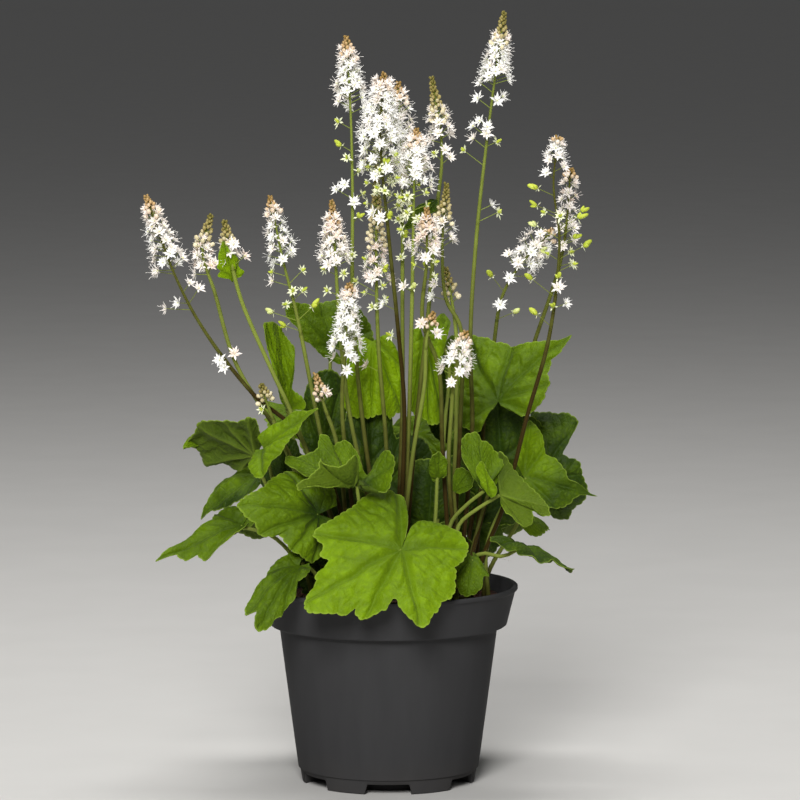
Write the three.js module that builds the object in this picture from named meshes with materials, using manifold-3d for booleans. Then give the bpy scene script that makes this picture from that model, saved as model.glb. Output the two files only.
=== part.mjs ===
// A potted foamflower: a woodland perennial in a 13 cm nursery pot.
// Millimetres, +Z up. The origin is the middle of the flat underside of the pot,
// and the plant's best side faces -Y.

import * as THREE from 'three';
import { mergeVertices } from 'three/addons/utils/BufferGeometryUtils.js';
import Module from 'manifold-3d';

const wasm = await Module();
wasm.setup();

// Driving dimensions of the pot
const potHeight = 99.6;
const rimRadius = 65;
const lipHeight = 2.4;
const lipStandsOut = 1.1;
const bandHeight = 20;
const bandLowRadius = 59.6;
const shoulderRadius = 54.8;
const footRadius = 44.5;
const potWall = 1.4;
const potFloor = 1.8;
const potSides = 32;
const bandTopRadius = rimRadius - lipStandsOut;
const drainCount = 6;
const drainWidth = 21;
const drainHeight = 5;
const drainInnerRadius = 31;
const drainSlotDepth = 5;
const drainSlotRadius = 37;

// Driving dimensions of the soil
const gap = 0.3;
const soilTop = 92.5;
const soilLump = 0.8;
const soilEdgeDrop = 1.5;
const soilSides = 16;
const holeSlack = 1.6;

// Driving dimensions of the plant
const bladeThickness = 0.7;
const bladeRipple = 0.05;
const bladeRing = 0.52;
const petioleRadius = 0.95;
const petioleDepth = 5;
const stemRadius = 0.85;
const stemStep = 27;
const rachisRadius = 1;
const rachisStep = 22;
const petalReach = 5.4;
const petalNotch = 1.9;
const stamenReach = 3;
const floretStalk = 7.4;
const capsuleStalk = 6;
const capsuleRim = [1.5, 1.1, 1.5, 1.1];
const capsulePoint = 4.5;
const budRadius = 2.4;
const budKnob = 1.15;
const budSpacing = 2.4;
const budSides = 6;
const budRows = 4;
const goldenAngle = 2.39996;

const up = new THREE.Vector3(0, 0, 1);
const plant = new THREE.Group();
plant.name = 'potted_foamflower';

const materials = {
  pot: new THREE.MeshStandardMaterial({ color: 0x2a2a2b, roughness: 0.6, metalness: 0 }),
  soil: new THREE.MeshStandardMaterial({ color: 0x4a2a1b, roughness: 1, metalness: 0 }),
  leaf: new THREE.MeshStandardMaterial({ color: 0x6f9a24, roughness: 0.6, metalness: 0 }),
  stem: new THREE.MeshStandardMaterial({ color: 0x7c8a3c, roughness: 0.7, metalness: 0 }),
  flower: new THREE.MeshStandardMaterial({ color: 0xf4f2ea, roughness: 0.7, metalness: 0 }),
};

// A small repeatable random draw, from 0 to 1
function makeRandom(seed) {
  let state = seed;
  return () => {
    state = (state * 1664525 + 1013904223) % 4294967296;
    return state / 4294967296;
  };
}

// A closed geometry becomes a solid, so that it can be joined and cut
function solidOf(geometry) {
  const bare = geometry.clone();
  bare.deleteAttribute('normal');
  bare.deleteAttribute('uv');
  const merged = mergeVertices(bare, 1e-4);
  const solid = new wasm.Manifold(new wasm.Mesh({
    numProp: 3,
    vertProperties: new Float32Array(merged.attributes.position.array),
    triVerts: new Uint32Array(merged.index.array),
  }));
  return solid;
}

function geometryOf(solid) {
  const mesh = solid.getMesh();
  const geometry = new THREE.BufferGeometry();
  geometry.setAttribute('position', new THREE.BufferAttribute(mesh.vertProperties, 3));
  geometry.setIndex(new THREE.BufferAttribute(mesh.triVerts, 1));
  geometry.computeVertexNormals();
  return geometry;
}

function geometryFromLists(points, triangles) {
  const geometry = new THREE.BufferGeometry();
  const flat = points.flatMap((point) => [point.x, point.y, point.z]);
  geometry.setAttribute('position', new THREE.Float32BufferAttribute(flat, 3));
  geometry.setIndex(triangles.flat());
  return geometry;
}

function joinAll(solids) {
  return solids.reduce((whole, solid) => whole.add(solid));
}

function addPart(name, solid, material) {
  const mesh = new THREE.Mesh(geometryOf(solid), material);
  mesh.name = name;
  plant.add(mesh);
}

// A turned shape: a profile of radius and height, spun round the Z axis
function turned(profile, sides) {
  const points = profile.map(([radius, height]) => new THREE.Vector2(radius, height));
  return solidOf(new THREE.LatheGeometry(points, sides).rotateX(Math.PI / 2));
}

function box(width, depth, height, x, y, z, turn) {
  const geometry = new THREE.BoxGeometry(width, depth, height);
  geometry.translate(x, y, z);
  geometry.rotateZ(turn);
  return solidOf(geometry);
}

// A regular polygon, the section of every stem and stalk
function polygon(radius, sides) {
  const corners = [];
  for (let corner = 0; corner < sides; corner += 1) {
    const angle = (corner / sides) * 2 * Math.PI;
    corners.push(new THREE.Vector2(radius * Math.cos(angle), radius * Math.sin(angle)));
  }
  return new THREE.Shape(corners);
}

function tube(curve, radius, sides, steps) {
  return solidOf(new THREE.ExtrudeGeometry(polygon(radius, sides), { steps, extrudePath: curve }));
}

// Part of a longer curve, between two shares of its length
class Stretch extends THREE.Curve {
  constructor(whole, from, to) {
    super();
    this.whole = whole;
    this.from = from;
    this.to = to;
  }

  getPoint(share, target = new THREE.Vector3()) {
    return this.whole.getPointAt(this.from + (this.to - this.from) * share, target);
  }
}

// The foot of the pot has drainage arches, each with a low slotted vault behind it
function drainAngles() {
  const angles = [];
  for (let arch = 0; arch < drainCount; arch += 1) {
    angles.push((arch / drainCount) * 2 * Math.PI);
  }
  return angles;
}

function drainBlock(extra, innerRadius, outerRadius, top, turn) {
  const middle = -(innerRadius + outerRadius) / 2;
  return box(drainWidth + 2 * extra, outerRadius - innerRadius, top + 1, 0, middle, (top - 1) / 2, turn);
}

function potProfile() {
  const bandTop = potHeight - lipHeight;
  const bandLow = potHeight - bandHeight;
  return [
    [0, 0],
    [footRadius - 1.2, 0],
    [footRadius, 1.6],
    [shoulderRadius, bandLow - 1],
    [bandLowRadius, bandLow],
    [bandTopRadius, bandTop],
    [rimRadius, bandTop + 0.4],
    [rimRadius, potHeight],
    [bandTopRadius - potWall, potHeight],
    [bandLowRadius - potWall, bandLow + 1],
    [shoulderRadius - potWall, bandLow],
    [footRadius - potWall, potFloor],
    [0, potFloor],
  ];
}

function makePot() {
  let solid = turned(potProfile(), potSides);
  const roof = drainHeight + potWall;
  const middleOfWall = footRadius - potWall / 2;
  const inside = turned([
    [0, potFloor / 2],
    [middleOfWall, potFloor / 2],
    [middleOfWall + potWall / 3, roof + 2],
    [0, roof + 2],
  ], potSides);
  for (const turn of drainAngles()) {
    const vault = drainBlock(potWall, drainInnerRadius - potWall, footRadius + 2, roof, turn);
    solid = solid.add(vault.intersect(inside));
  }
  for (const turn of drainAngles()) {
    solid = solid.subtract(drainBlock(0, drainInnerRadius, footRadius + 4, drainHeight, turn));
    solid = solid.subtract(box(drainWidth / 2, drainSlotDepth, roof, 0, -drainSlotRadius, roof, turn));
  }
  addPart('pot', solid, materials.pot);
}

// The height of the soil at a place: low lumps
function soilHeight(x, y) {
  const lumps = Math.sin(x * 0.31 + 1.3) * Math.cos(y * 0.27 + 0.4) + 0.6 * Math.sin(x * 0.11 - y * 0.17);
  return soilTop + soilLump * lumps;
}

// The radius of the soil where it meets the slanted wall of the band
function soilRadius(height) {
  const rise = (height - potHeight + bandHeight - 1) / (bandHeight - 1);
  return bandLowRadius - potWall - gap + (bandTopRadius - bandLowRadius) * rise;
}

function soilSurface() {
  const rings = [0.4, 0.75, 1];
  const points = [new THREE.Vector3(0, 0, soilHeight(0, 0))];
  for (const share of rings) {
    for (let side = 0; side < soilSides; side += 1) {
      const angle = (side / soilSides) * 2 * Math.PI;
      const wide = soilRadius(soilTop) * share;
      const drop = share === 1 ? soilEdgeDrop : 0;
      const height = soilHeight(wide * Math.cos(angle), wide * Math.sin(angle)) - drop;
      const radius = soilRadius(height) * share;
      points.push(new THREE.Vector3(radius * Math.cos(angle), radius * Math.sin(angle), height));
    }
  }
  const low = points.length;
  const floorHeight = potHeight - bandHeight + 1.5;
  const floor = soilRadius(floorHeight);
  for (let side = 0; side < soilSides; side += 1) {
    const angle = (side / soilSides) * 2 * Math.PI;
    points.push(new THREE.Vector3(floor * Math.cos(angle), floor * Math.sin(angle), floorHeight));
  }
  points.push(new THREE.Vector3(0, 0, floorHeight));
  const triangles = [];
  const at = (ring, side) => 1 + ring * soilSides + (side % soilSides);
  for (let side = 0; side < soilSides; side += 1) {
    triangles.push([0, at(0, side), at(0, side + 1)]);
    for (let ring = 0; ring < rings.length; ring += 1) {
      triangles.push([at(ring, side), at(ring + 1, side), at(ring + 1, side + 1)]);
      triangles.push([at(ring, side), at(ring + 1, side + 1), at(ring, side + 1)]);
    }
    triangles.push([points.length - 1, low + ((side + 1) % soilSides), low + side]);
  }
  return solidOf(geometryFromLists(points, triangles));
}

function hole(x, y, radius, depth) {
  const geometry = new THREE.CylinderGeometry(radius, radius, depth + 10, 6).rotateX(Math.PI / 2);
  geometry.translate(x, y, soilTop - depth + (depth + 10) / 2);
  return solidOf(geometry);
}

// The root ball: it fills the pot, over the drainage vaults, with a hole for each stalk
function makeSoil(leaves, crowns) {
  const inner = potHeight - bandHeight;
  let solid = turned([
    [0, potFloor + gap],
    [footRadius - potWall - gap, potFloor + gap],
    [shoulderRadius - potWall - gap, inner],
    [shoulderRadius - potWall - gap, inner + 2],
    [0, inner + 2],
  ], soilSides);
  solid = solid.add(soilSurface());
  for (const turn of drainAngles()) {
    const roof = drainHeight + potWall + gap;
    const vaultStart = drainInnerRadius - potWall - gap;
    solid = solid.subtract(drainBlock(potWall + gap, vaultStart, footRadius + 4, roof, turn));
  }
  for (const leaf of leaves) {
    const [x, y] = leaf.root;
    solid = solid.subtract(hole(x, y, petioleRadius + holeSlack, petioleDepth));
  }
  for (const crown of crowns) {
    const [x, y] = crown.centre;
    solid = solid.subtract(hole(x, y, crown.radius + 0.9, crown.radius * 0.6 + gap));
  }
  addPart('soil', solid, materials.soil);
}

// A foamflower leaf has five rounded lobes with scalloped teeth, and a deep notch
// at the petiole. Angles are in degrees from the midrib, reaches are shares of its length.
const lobes = [
  { angle: -121, reach: 0.6, before: 47, after: 31 },
  { angle: -58, reach: 0.83, before: 32, after: 29 },
  { angle: 0, reach: 1, before: 29, after: 29 },
  { angle: 58, reach: 0.83, before: 29, after: 32 },
  { angle: 121, reach: 0.6, before: 31, after: 47 },
];
const lobeNotch = 0.74;
const largeLeaf = 48;
const largeLeafTeeth = [
  { place: 0.34, reach: 0.94 },
  { place: 0.7, reach: 0.95 },
];
const smallLeafTeeth = [{ place: 0.56, reach: 0.98 }];

function leafOutline(size) {
  const teeth = size > largeLeaf ? largeLeafTeeth : smallLeafTeeth;
  const outline = [];
  for (const lobe of lobes) {
    const first = lobe.before;
    const last = lobe.after;
    outline.push({ angle: lobe.angle - first, reach: lobe.reach * lobeNotch });
    for (const tooth of [...teeth].reverse()) {
      outline.push({ angle: lobe.angle - first * tooth.place, reach: lobe.reach * tooth.reach });
    }
    outline.push({ angle: lobe.angle, reach: lobe.reach });
    for (const tooth of teeth) {
      outline.push({ angle: lobe.angle + last * tooth.place, reach: lobe.reach * tooth.reach });
    }
  }
  const end = lobes[lobes.length - 1];
  outline.push({ angle: end.angle + end.after, reach: end.reach * lobeNotch });
  return outline;
}

// Where a point of the flat blade goes when the blade droops, cups and folds
function bladePoint(leaf, size, degrees, reach) {
  const angle = THREE.MathUtils.degToRad(degrees);
  const [tip, cup, side] = leaf.bend;
  const bend = THREE.MathUtils.degToRad(tip + cup * (1 - Math.cos(angle)) / 2 + side * Math.sin(angle) ** 2);
  const length = size * reach;
  const turn = bend * reach + 1e-6;
  const along = (length * Math.sin(turn)) / turn;
  const drop = (length * (1 - Math.cos(turn))) / turn;
  const ripple = bladeRipple * size * reach ** 3 * Math.cos(6.2 * angle);
  const x = along * Math.cos(angle);
  const y = along * Math.sin(angle) * (leaf.width ?? 1);
  const fold = THREE.MathUtils.degToRad(leaf.fold ?? 0);
  return new THREE.Vector3(x, y * Math.cos(fold), ripple - drop + Math.abs(y) * Math.sin(fold));
}

function bladeSheet(leaf, size) {
  const outline = leafOutline(size);
  const points = [new THREE.Vector3(0, 0, 0)];
  const triangles = [];
  const inner = [];
  const outer = [];
  outline.forEach((corner, index) => {
    if (index % 2 === 0) {
      inner.push(points.length);
      points.push(bladePoint(leaf, size, corner.angle, corner.reach * bladeRing));
    }
  });
  for (const corner of outline) {
    outer.push(points.length);
    points.push(bladePoint(leaf, size, corner.angle, corner.reach));
  }
  for (let index = 0; index < inner.length - 1; index += 1) {
    triangles.push([0, inner[index], inner[index + 1]]);
    triangles.push([inner[index], outer[2 * index], outer[2 * index + 1]]);
    triangles.push([inner[index], outer[2 * index + 1], inner[index + 1]]);
    triangles.push([inner[index + 1], outer[2 * index + 1], outer[2 * index + 2]]);
  }
  const edge = [0, inner[0], ...outer, inner[inner.length - 1]];
  return { points, triangles, edge };
}

// The sheet gets its thickness along its own normals, with the same triangles on both faces
function thickBlade(sheet) {
  const middle = geometryFromLists(sheet.points, sheet.triangles);
  middle.computeVertexNormals();
  const normals = middle.attributes.normal;
  const count = sheet.points.length;
  const points = [];
  for (const side of [1, -1]) {
    sheet.points.forEach((point, index) => {
      const normal = new THREE.Vector3().fromBufferAttribute(normals, index);
      points.push(point.clone().addScaledVector(normal, side * bladeThickness / 2));
    });
  }
  const triangles = sheet.triangles.map((corners) => [...corners]);
  for (const [a, b, c] of sheet.triangles) {
    triangles.push([a + count, c + count, b + count]);
  }
  sheet.edge.forEach((from, index) => {
    const to = sheet.edge[(index + 1) % sheet.edge.length];
    triangles.push([from, from + count, to + count], [from, to + count, to]);
  });
  return geometryFromLists(points, triangles);
}

// The frame of a blade: X along the midrib where it leaves the petiole, Z out of the upper face
function bladeFrame(leaf) {
  const base = new THREE.Vector3(...leaf.base);
  const chord = new THREE.Vector3(...leaf.tip).sub(base);
  const half = THREE.MathUtils.degToRad(leaf.bend[0]) / 2 + 1e-6;
  const size = (chord.length() * half) / Math.sin(half);
  chord.normalize();
  const face = new THREE.Vector3(...leaf.face);
  face.addScaledVector(chord, -face.dot(chord)).normalize();
  const alongX = chord.clone().multiplyScalar(Math.cos(half)).addScaledVector(face, Math.sin(half));
  const outZ = face.clone().multiplyScalar(Math.cos(half)).addScaledVector(chord, -Math.sin(half));
  const acrossY = new THREE.Vector3().crossVectors(outZ, alongX);
  const matrix = new THREE.Matrix4().makeBasis(alongX, acrossY, outZ).setPosition(base);
  return { matrix, size };
}

function petioleCurve(leaf, matrix) {
  const [x, y] = leaf.root;
  const end = new THREE.Vector3(1.6, 0, -0.25).applyMatrix4(matrix);
  const points = [
    new THREE.Vector3(x, y, soilTop - petioleDepth + gap),
    new THREE.Vector3(x, y, soilTop + 3),
    ...leaf.via.map((point) => new THREE.Vector3(...point)),
    end,
  ];
  return new THREE.CatmullRomCurve3(points, false, 'centripetal');
}

function makeLeaf(leaf) {
  const { matrix, size } = bladeFrame(leaf);
  const blade = solidOf(thickBlade(bladeSheet(leaf, size)).applyMatrix4(matrix));
  const petiole = tube(petioleCurve(leaf, matrix), petioleRadius, 4, leaf.via.length + 3);
  addPart(`leaf_${leaf.name}`, blade.add(petiole), materials.leaf);
}

// Every leaf: where its petiole stands in the soil, the points that the petiole passes,
// the place where it meets the blade, the tip of the blade, and the way its upper face looks.
// Bend is how far the midrib, the back lobes and the sides curl down, in degrees.
const leaves = [
  { name: 'front_large', root: [14, -20], via: [[18, -34, 130]], base: [7, -53, 126],
    tip: [-39, -75, 100], face: [0, -0.76, 0.65], bend: [22, 10, -14] },
  { name: 'front_left_hanging', root: [-30, -26], via: [[-38, -36, 112]], base: [-52, -49, 115],
    tip: [-66, -65, 88], face: [-0.3, -0.8, 0.5], bend: [35, 0, 0], width: 0.85 },
  { name: 'left_low', root: [-36, -10], via: [[-56, -12, 124]], base: [-82, -14, 129],
    tip: [-117, -18, 111], face: [0.05, -0.2, 1], bend: [30, 10, 10], width: 0.9 },
  { name: 'left_dark', root: [-36, 12], via: [[-50, 20, 135]], base: [-68, 27, 152],
    tip: [-96, 32, 132], face: [-0.3, -0.4, 0.85], bend: [40, 10, 20] },
  { name: 'left_turned', root: [-36, 2], via: [[-56, 4, 138]], base: [-75, 6, 164],
    tip: [-105, 14, 167], face: [0, 0.55, 0.83], bend: [-20, 0, -15] },
  { name: 'left_folded', root: [-38, -17], via: [[-41, -18, 108], [-56, -17, 148]], base: [-63, -27, 172],
    tip: [-33, -33, 189], face: [0, -0.4, 0.9], bend: [15, 20, 0], fold: 30, width: 0.8 },
  { name: 'left_large', root: [-24, -22], via: [[-26, -26, 124]], base: [-35, -35, 141],
    tip: [-75, -47, 146], face: [0, -0.83, 0.56], bend: [40, 0, -10], width: 0.92 },
  { name: 'cupped', root: [-16, -18], via: [[-14, -26, 128]], base: [-18, -32, 152],
    tip: [-48, -42, 164], face: [0, -0.6, 0.8], bend: [-25, -20, -30], width: 1.1 },
  { name: 'upright_folded', root: [-30, 20], via: [[-44, 20, 150]], base: [-50, 17, 186],
    tip: [-56, 15, 229], face: [0.4, -0.9, 0.1], bend: [-15, 10, 20], fold: 55, width: 0.6 },
  { name: 'back_left_tall', root: [-22, 26], via: [[-30, 40, 170]], base: [-30, 46, 216],
    tip: [-56, 44, 238], face: [0, -0.7, 0.7], bend: [30, 20, 10] },
  { name: 'centre_hanging', root: [-8, 16], via: [[-8, 32, 170], [-8, 37, 212]], base: [-8, 31, 217],
    tip: [-9, 22, 182], face: [0, -0.9, 0.4], bend: [35, 30, 20], width: 0.75 },
  { name: 'centre_right', root: [22, 18], via: [[28, 30, 170], [29, 35, 214]], base: [27, 29, 219],
    tip: [29, 20, 180], face: [0.1, -0.9, 0.4], bend: [35, 30, 20], width: 0.62 },
  { name: 'centre_behind', root: [34, 22], via: [[38, 38, 140]], base: [33, 50, 180],
    tip: [27, 52, 210], face: [0.2, -0.9, 0.3], bend: [30, 10, 20], width: 0.75 },
  { name: 'right_large', root: [44, 16], via: [[48, 27, 150]], base: [54, 18, 191],
    tip: [87, 34, 230], face: [-0.35, -0.65, 0.65], bend: [30, 10, 10] },
  { name: 'right_dark', root: [48, 4], via: [[51, 7, 106], [66, 24, 128]], base: [77, 36, 149],
    tip: [99, 44, 177], face: [0.1, -0.75, 0.6], bend: [30, 20, 30] },
  { name: 'right_curved', root: [50, -4], via: [[62, 3, 130]], base: [67, 1, 159],
    tip: [104, 4, 144], face: [0.2, -0.6, 0.75], bend: [45, 10, 30], width: 0.88 },
  { name: 'right_front', root: [34, -20], via: [[52, -26, 128]], base: [63, -34, 147],
    tip: [44, -32, 178], face: [0.3, -0.8, 0.5], bend: [30, -20, 30] },
  { name: 'right_low', root: [30, -27], via: [[40, -33, 112]], base: [43, -33, 119],
    tip: [44, -38, 101], face: [0, -0.9, 0.4], bend: [20, 0, 0] },
  { name: 'right_edge', root: [46, -20], via: [[58, -22, 118]], base: [66, -24, 124],
    tip: [92, -28, 110], face: [0.1, 0.1, 1], bend: [20, 0, 20], width: 0.8 },
  { name: 'centre_small', root: [18, -18], via: [[20, -21, 130]], base: [20, -22, 152],
    tip: [17, -25, 164], face: [0, -0.9, 0.4], bend: [20, 0, 0] },
  { name: 'middle_dark', root: [-18, 12], via: [[-26, 22, 130]], base: [-28, 26, 150],
    tip: [-33, 30, 176], face: [0, -0.9, 0.4], bend: [30, 0, 20], width: 0.8 },
  { name: 'back_left_low', root: [-30, 30], via: [[-42, 42, 120]], base: [-50, 50, 132],
    tip: [-80, 70, 114], face: [-0.3, 0.5, 0.8], bend: [35, 10, 20] },
  { name: 'back_low', root: [0, 36], via: [[0, 50, 120]], base: [-4, 63, 128],
    tip: [-4, 104, 110], face: [0, 0.5, 0.9], bend: [40, 10, 10], width: 0.9 },
  { name: 'back_right_low', root: [30, 34], via: [[42, 46, 118]], base: [48, 54, 130],
    tip: [76, 84, 116], face: [0.3, 0.5, 0.8], bend: [35, 10, 20] },
  { name: 'back_left_high', root: [-20, 30], via: [[-28, 42, 140]], base: [-34, 57, 170],
    tip: [-64, 76, 182], face: [-0.3, 0.3, 0.9], bend: [40, 20, 10] },
  { name: 'back_right_high', root: [14, 34], via: [[15, 50, 140]], base: [13, 66, 170],
    tip: [32, 101, 174], face: [0.2, 0.4, 0.9], bend: [40, 20, 10] },
];

// Each crown is the knobby top of a rhizome, and its flower stems grow from it
const crowns = [
  { name: 'left', centre: [-22, -4], radius: 6.5 },
  { name: 'middle', centre: [2, -2], radius: 7.5 },
  { name: 'right', centre: [36, -4], radius: 6.5 },
];

// Every flower stem: the points it passes on its way up from the crown, the share of its
// length where the flowers start, and how many open florets, buds and seed capsules it has.
// A leafy stem has one small leaf on its way.
const sprays = [
  { name: 'left_outer', crown: 'left', bare: 0.62, florets: 8, buds: 5, seed: 11,
    path: [[-24, -4, 112], [-45, 0, 175], [-67, -2, 195], [-92, -4, 228], [-106, -6, 255], [-120, -6, 294]] },
  { name: 'left_behind', crown: 'left', bare: 0.8, florets: 4, buds: 6, seed: 7,
    path: [[-25, -1, 112], [-54, 8, 172], [-77, 20, 209], [-88, 28, 245], [-94, 32, 264], [-90, 34, 282]] },
  { name: 'left_leafy', crown: 'left', bare: 0.9, florets: 2, buds: 4, seed: 13,
    path: [[-22, -7, 112], [-49, -8, 188], [-58, -9, 208], [-73, -10, 243], [-78, -12, 263],
      [-81, -14, 282]] },
  { name: 'left_inner', crown: 'left', bare: 0.68, florets: 6, buds: 5, seed: 14,
    path: [[-19, -1, 112], [-32, 4, 165], [-39, 6, 200], [-46, 8, 235], [-53, 8, 263], [-59, 8, 293]] },
  { name: 'left_budding', crown: 'left', bare: 0.84, florets: 0, buds: 5, seed: 15,
    path: [[-26, -6, 108], [-50, -7, 165], [-59, -11, 188], [-63, -15, 201]] },
  { name: 'left_small', crown: 'left', bare: 0.82, florets: 1, buds: 5, seed: 16,
    path: [[-20, -8, 110], [-26, -6, 172], [-32, -5, 190], [-36, -4, 205]] },
  { name: 'front_low', crown: 'left', bare: 0.72, florets: 9, buds: 2, seed: 17,
    path: [[-16, -8, 112], [-23, -16, 189], [-21, -26, 223], [-19, -32, 252]] },
  { name: 'middle_left', crown: 'middle', bare: 0.76, florets: 6, buds: 5, seed: 18,
    path: [[-3, -6, 112], [-20, -8, 190], [-25, -8, 242], [-26, -10, 259], [-28, -12, 292]] },
  { name: 'tall_left', crown: 'middle', bare: 0.68, florets: 9, buds: 4, seed: 19,
    path: [[-3, 2, 112], [-14, 8, 190], [-18, 14, 244], [-18, 20, 292], [-19, 24, 336], [-21, 26, 372]] },
  { name: 'tall_middle', crown: 'middle', bare: 0.72, florets: 12, buds: 4, seed: 20,
    path: [[5, -4, 115], [8, -6, 187], [5, -10, 227], [0, -14, 278], [-4, -17, 326], [-2, -18, 355]] },
  { name: 'tall_behind', crown: 'middle', bare: 0.84, florets: 5, buds: 5, seed: 21,
    path: [[4, 3, 112], [7, 10, 190], [7, 15, 237], [7, 20, 279], [6, 22, 324], [5, 22, 349]] },
  { name: 'middle_bright', crown: 'middle', bare: 0.86, florets: 5, buds: 2, seed: 22,
    path: [[7, -1, 112], [10, -2, 175], [11, -3, 210], [12, -4, 252], [13, -4, 307], [14, -4, 327]] },
  { name: 'middle_small', crown: 'middle', bare: 0.84, florets: 2, buds: 3, seed: 23,
    path: [[6, -7, 110], [12, -14, 165], [18, -22, 203], [19, -28, 226], [22, -30, 238]] },
  { name: 'middle_budding', crown: 'middle', bare: 0.6, florets: 5, buds: 6, seed: 24,
    path: [[0, 4, 110], [-1, 5, 167], [-5, 9, 219], [-6, 12, 251], [-6, 14, 308]] },
  { name: 'behind_right', crown: 'middle', bare: 0.76, florets: 6, buds: 6, seed: 25,
    path: [[8, 3, 112], [14, 11, 180], [20, 14, 235], [24, 24, 283], [27, 36, 316], [22, 42, 351]] },
  { name: 'right_olive', crown: 'right', bare: 0.78, florets: 3, buds: 7, seed: 26,
    path: [[33, -2, 112], [36, 1, 180], [36, 4, 229], [29, 7, 242], [27, 8, 269], [29, 8, 299]] },
  { name: 'front_peach', crown: 'right', bare: 0.8, florets: 7, buds: 5, seed: 27,
    path: [[31, -8, 112], [27, -9, 170], [25, -13, 210], [17, -19, 234], [19, -24, 264], [19, -26, 289]] },
  { name: 'right_tall', crown: 'right', bare: 0.68, florets: 12, buds: 5, seed: 28,
    path: [[37, 0, 112], [42, 2, 176], [41, 5, 221], [44, 16, 271], [51, 26, 333], [58, 30, 384]] },
  { name: 'right_outer', crown: 'right', bare: 0.58, florets: 6, capsules: 8, buds: 2, seed: 29,
    path: [[48, -7, 116], [57, -12, 139], [69, -16, 186], [80, -14, 226], [85, -10, 273], [82, -8, 301],
      [84, -8, 323]] },
  { name: 'right_outer_behind', crown: 'right', bare: 0.82, florets: 4, buds: 4, seed: 30,
    path: [[42, 6, 112], [58, 48, 165], [74, 54, 215], [88, 42, 262], [92, 34, 305]] },
  { name: 'right_near', crown: 'right', bare: 0.78, florets: 5, buds: 3, seed: 31,
    path: [[34, -9, 112], [30, -20, 160], [31, -25, 185], [33, -32, 210], [38, -34, 229]] },
  { name: 'right_spreading', crown: 'right', bare: 0.84, florets: 5, buds: 1, seed: 32,
    path: [[39, 6, 112], [50, 58, 170], [54, 58, 216], [58, 54, 240], [67, 52, 256], [83, 54, 273]] },
  { name: 'right_budding', crown: 'right', bare: 0.86, florets: 0, buds: 6, seed: 33,
    path: [[32, 1, 110], [34, 6, 180], [34, 12, 225], [32, 18, 240], [29, 24, 256]] },
];

function sprayCurve(spray) {
  const crown = crowns.find((each) => each.name === spray.crown);
  const [x, y] = crown.centre;
  const [lowX, lowY] = spray.path[0];
  const foot = new THREE.Vector3(x + (lowX - x) * 0.4, y + (lowY - y) * 0.4, soilTop - 1);
  const points = [foot, ...spray.path.map((point) => new THREE.Vector3(...point))];
  return new THREE.CatmullRomCurve3(points, false, 'centripetal');
}

// A thing on a stalk: three sides at the stalk, a rim of given radii, and a pointed front.
// A star-shaped rim gives an open floret, and a small one far from its point a seed capsule.
function stalked(foot, direction, stalk, rim, front) {
  const points = [];
  const toward = direction.clone().normalize();
  const side = new THREE.Vector3().crossVectors(toward, up).normalize();
  const other = new THREE.Vector3().crossVectors(side, toward);
  const ring = (distance, radii) => radii.map((radius, index) => {
    const angle = (index / radii.length) * 2 * Math.PI;
    return foot.clone().addScaledVector(toward, distance)
      .addScaledVector(side, radius * Math.cos(angle))
      .addScaledVector(other, radius * Math.sin(angle));
  });
  points.push(...ring(-0.2, [0.4, 0.4, 0.4]), ...ring(stalk - 0.9, [0.55, 0.55, 0.55]));
  points.push(...ring(stalk, rim), foot.clone().addScaledVector(toward, stalk + front));
  const triangles = [[0, 1, 2]];
  for (let index = 0; index < 3; index += 1) {
    const next = (index + 1) % 3;
    triangles.push([index, 3 + next, next], [index, 3 + index, 3 + next]);
  }
  const count = rim.length;
  const nearest = (index) => Math.round((index / count) * 3) % 3;
  for (let index = 0; index < count; index += 1) {
    const next = (index + 1) % count;
    triangles.push([3 + nearest(index), 6 + index, 6 + next]);
    if (nearest(index) !== nearest(next)) {
      triangles.push([3 + nearest(index), 6 + next, 3 + nearest(next)]);
    }
    triangles.push([6 + index, 6 + count, 6 + next]);
  }
  return solidOf(geometryFromLists(points, triangles));
}

function starRim() {
  const rim = [];
  for (let petal = 0; petal < 5; petal += 1) {
    rim.push(petalReach, petalNotch);
  }
  return rim;
}

// One floret or capsule at a share of the raceme's length, turned round the stem
function onRaceme(curve, share, turn, lift, stalk, rim, front) {
  const foot = curve.getPointAt(share);
  const along = curve.getTangentAt(share);
  const side = new THREE.Vector3().crossVectors(along, new THREE.Vector3(0.3, 1, 0.1)).normalize();
  const direction = side.applyAxisAngle(along, turn).addScaledVector(along, lift);
  return stalked(foot, direction, stalk, rim, front);
}

// The unopened buds crowd the tip of a raceme: a spindle with a knob for each bud
function budTip(curve, from, length) {
  const spindle = new THREE.SphereGeometry(1, budSides, budRows).rotateX(Math.PI / 2);
  const positions = spindle.attributes.position;
  for (let index = 0; index < positions.count; index += 1) {
    const knob = index % 2 === 0 ? budKnob : 1 / budKnob;
    const narrow = 1 - 0.25 * positions.getZ(index);
    positions.setX(index, positions.getX(index) * budRadius * knob * narrow);
    positions.setY(index, positions.getY(index) * budRadius * knob * narrow);
    positions.setZ(index, positions.getZ(index) * (length / 2 + 1));
  }
  const turn = new THREE.Quaternion().setFromUnitVectors(up, curve.getTangentAt((from + 1) / 2));
  spindle.applyQuaternion(turn);
  spindle.translate(...curve.getPointAt((from + 1) / 2));
  return solidOf(spindle);
}

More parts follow.
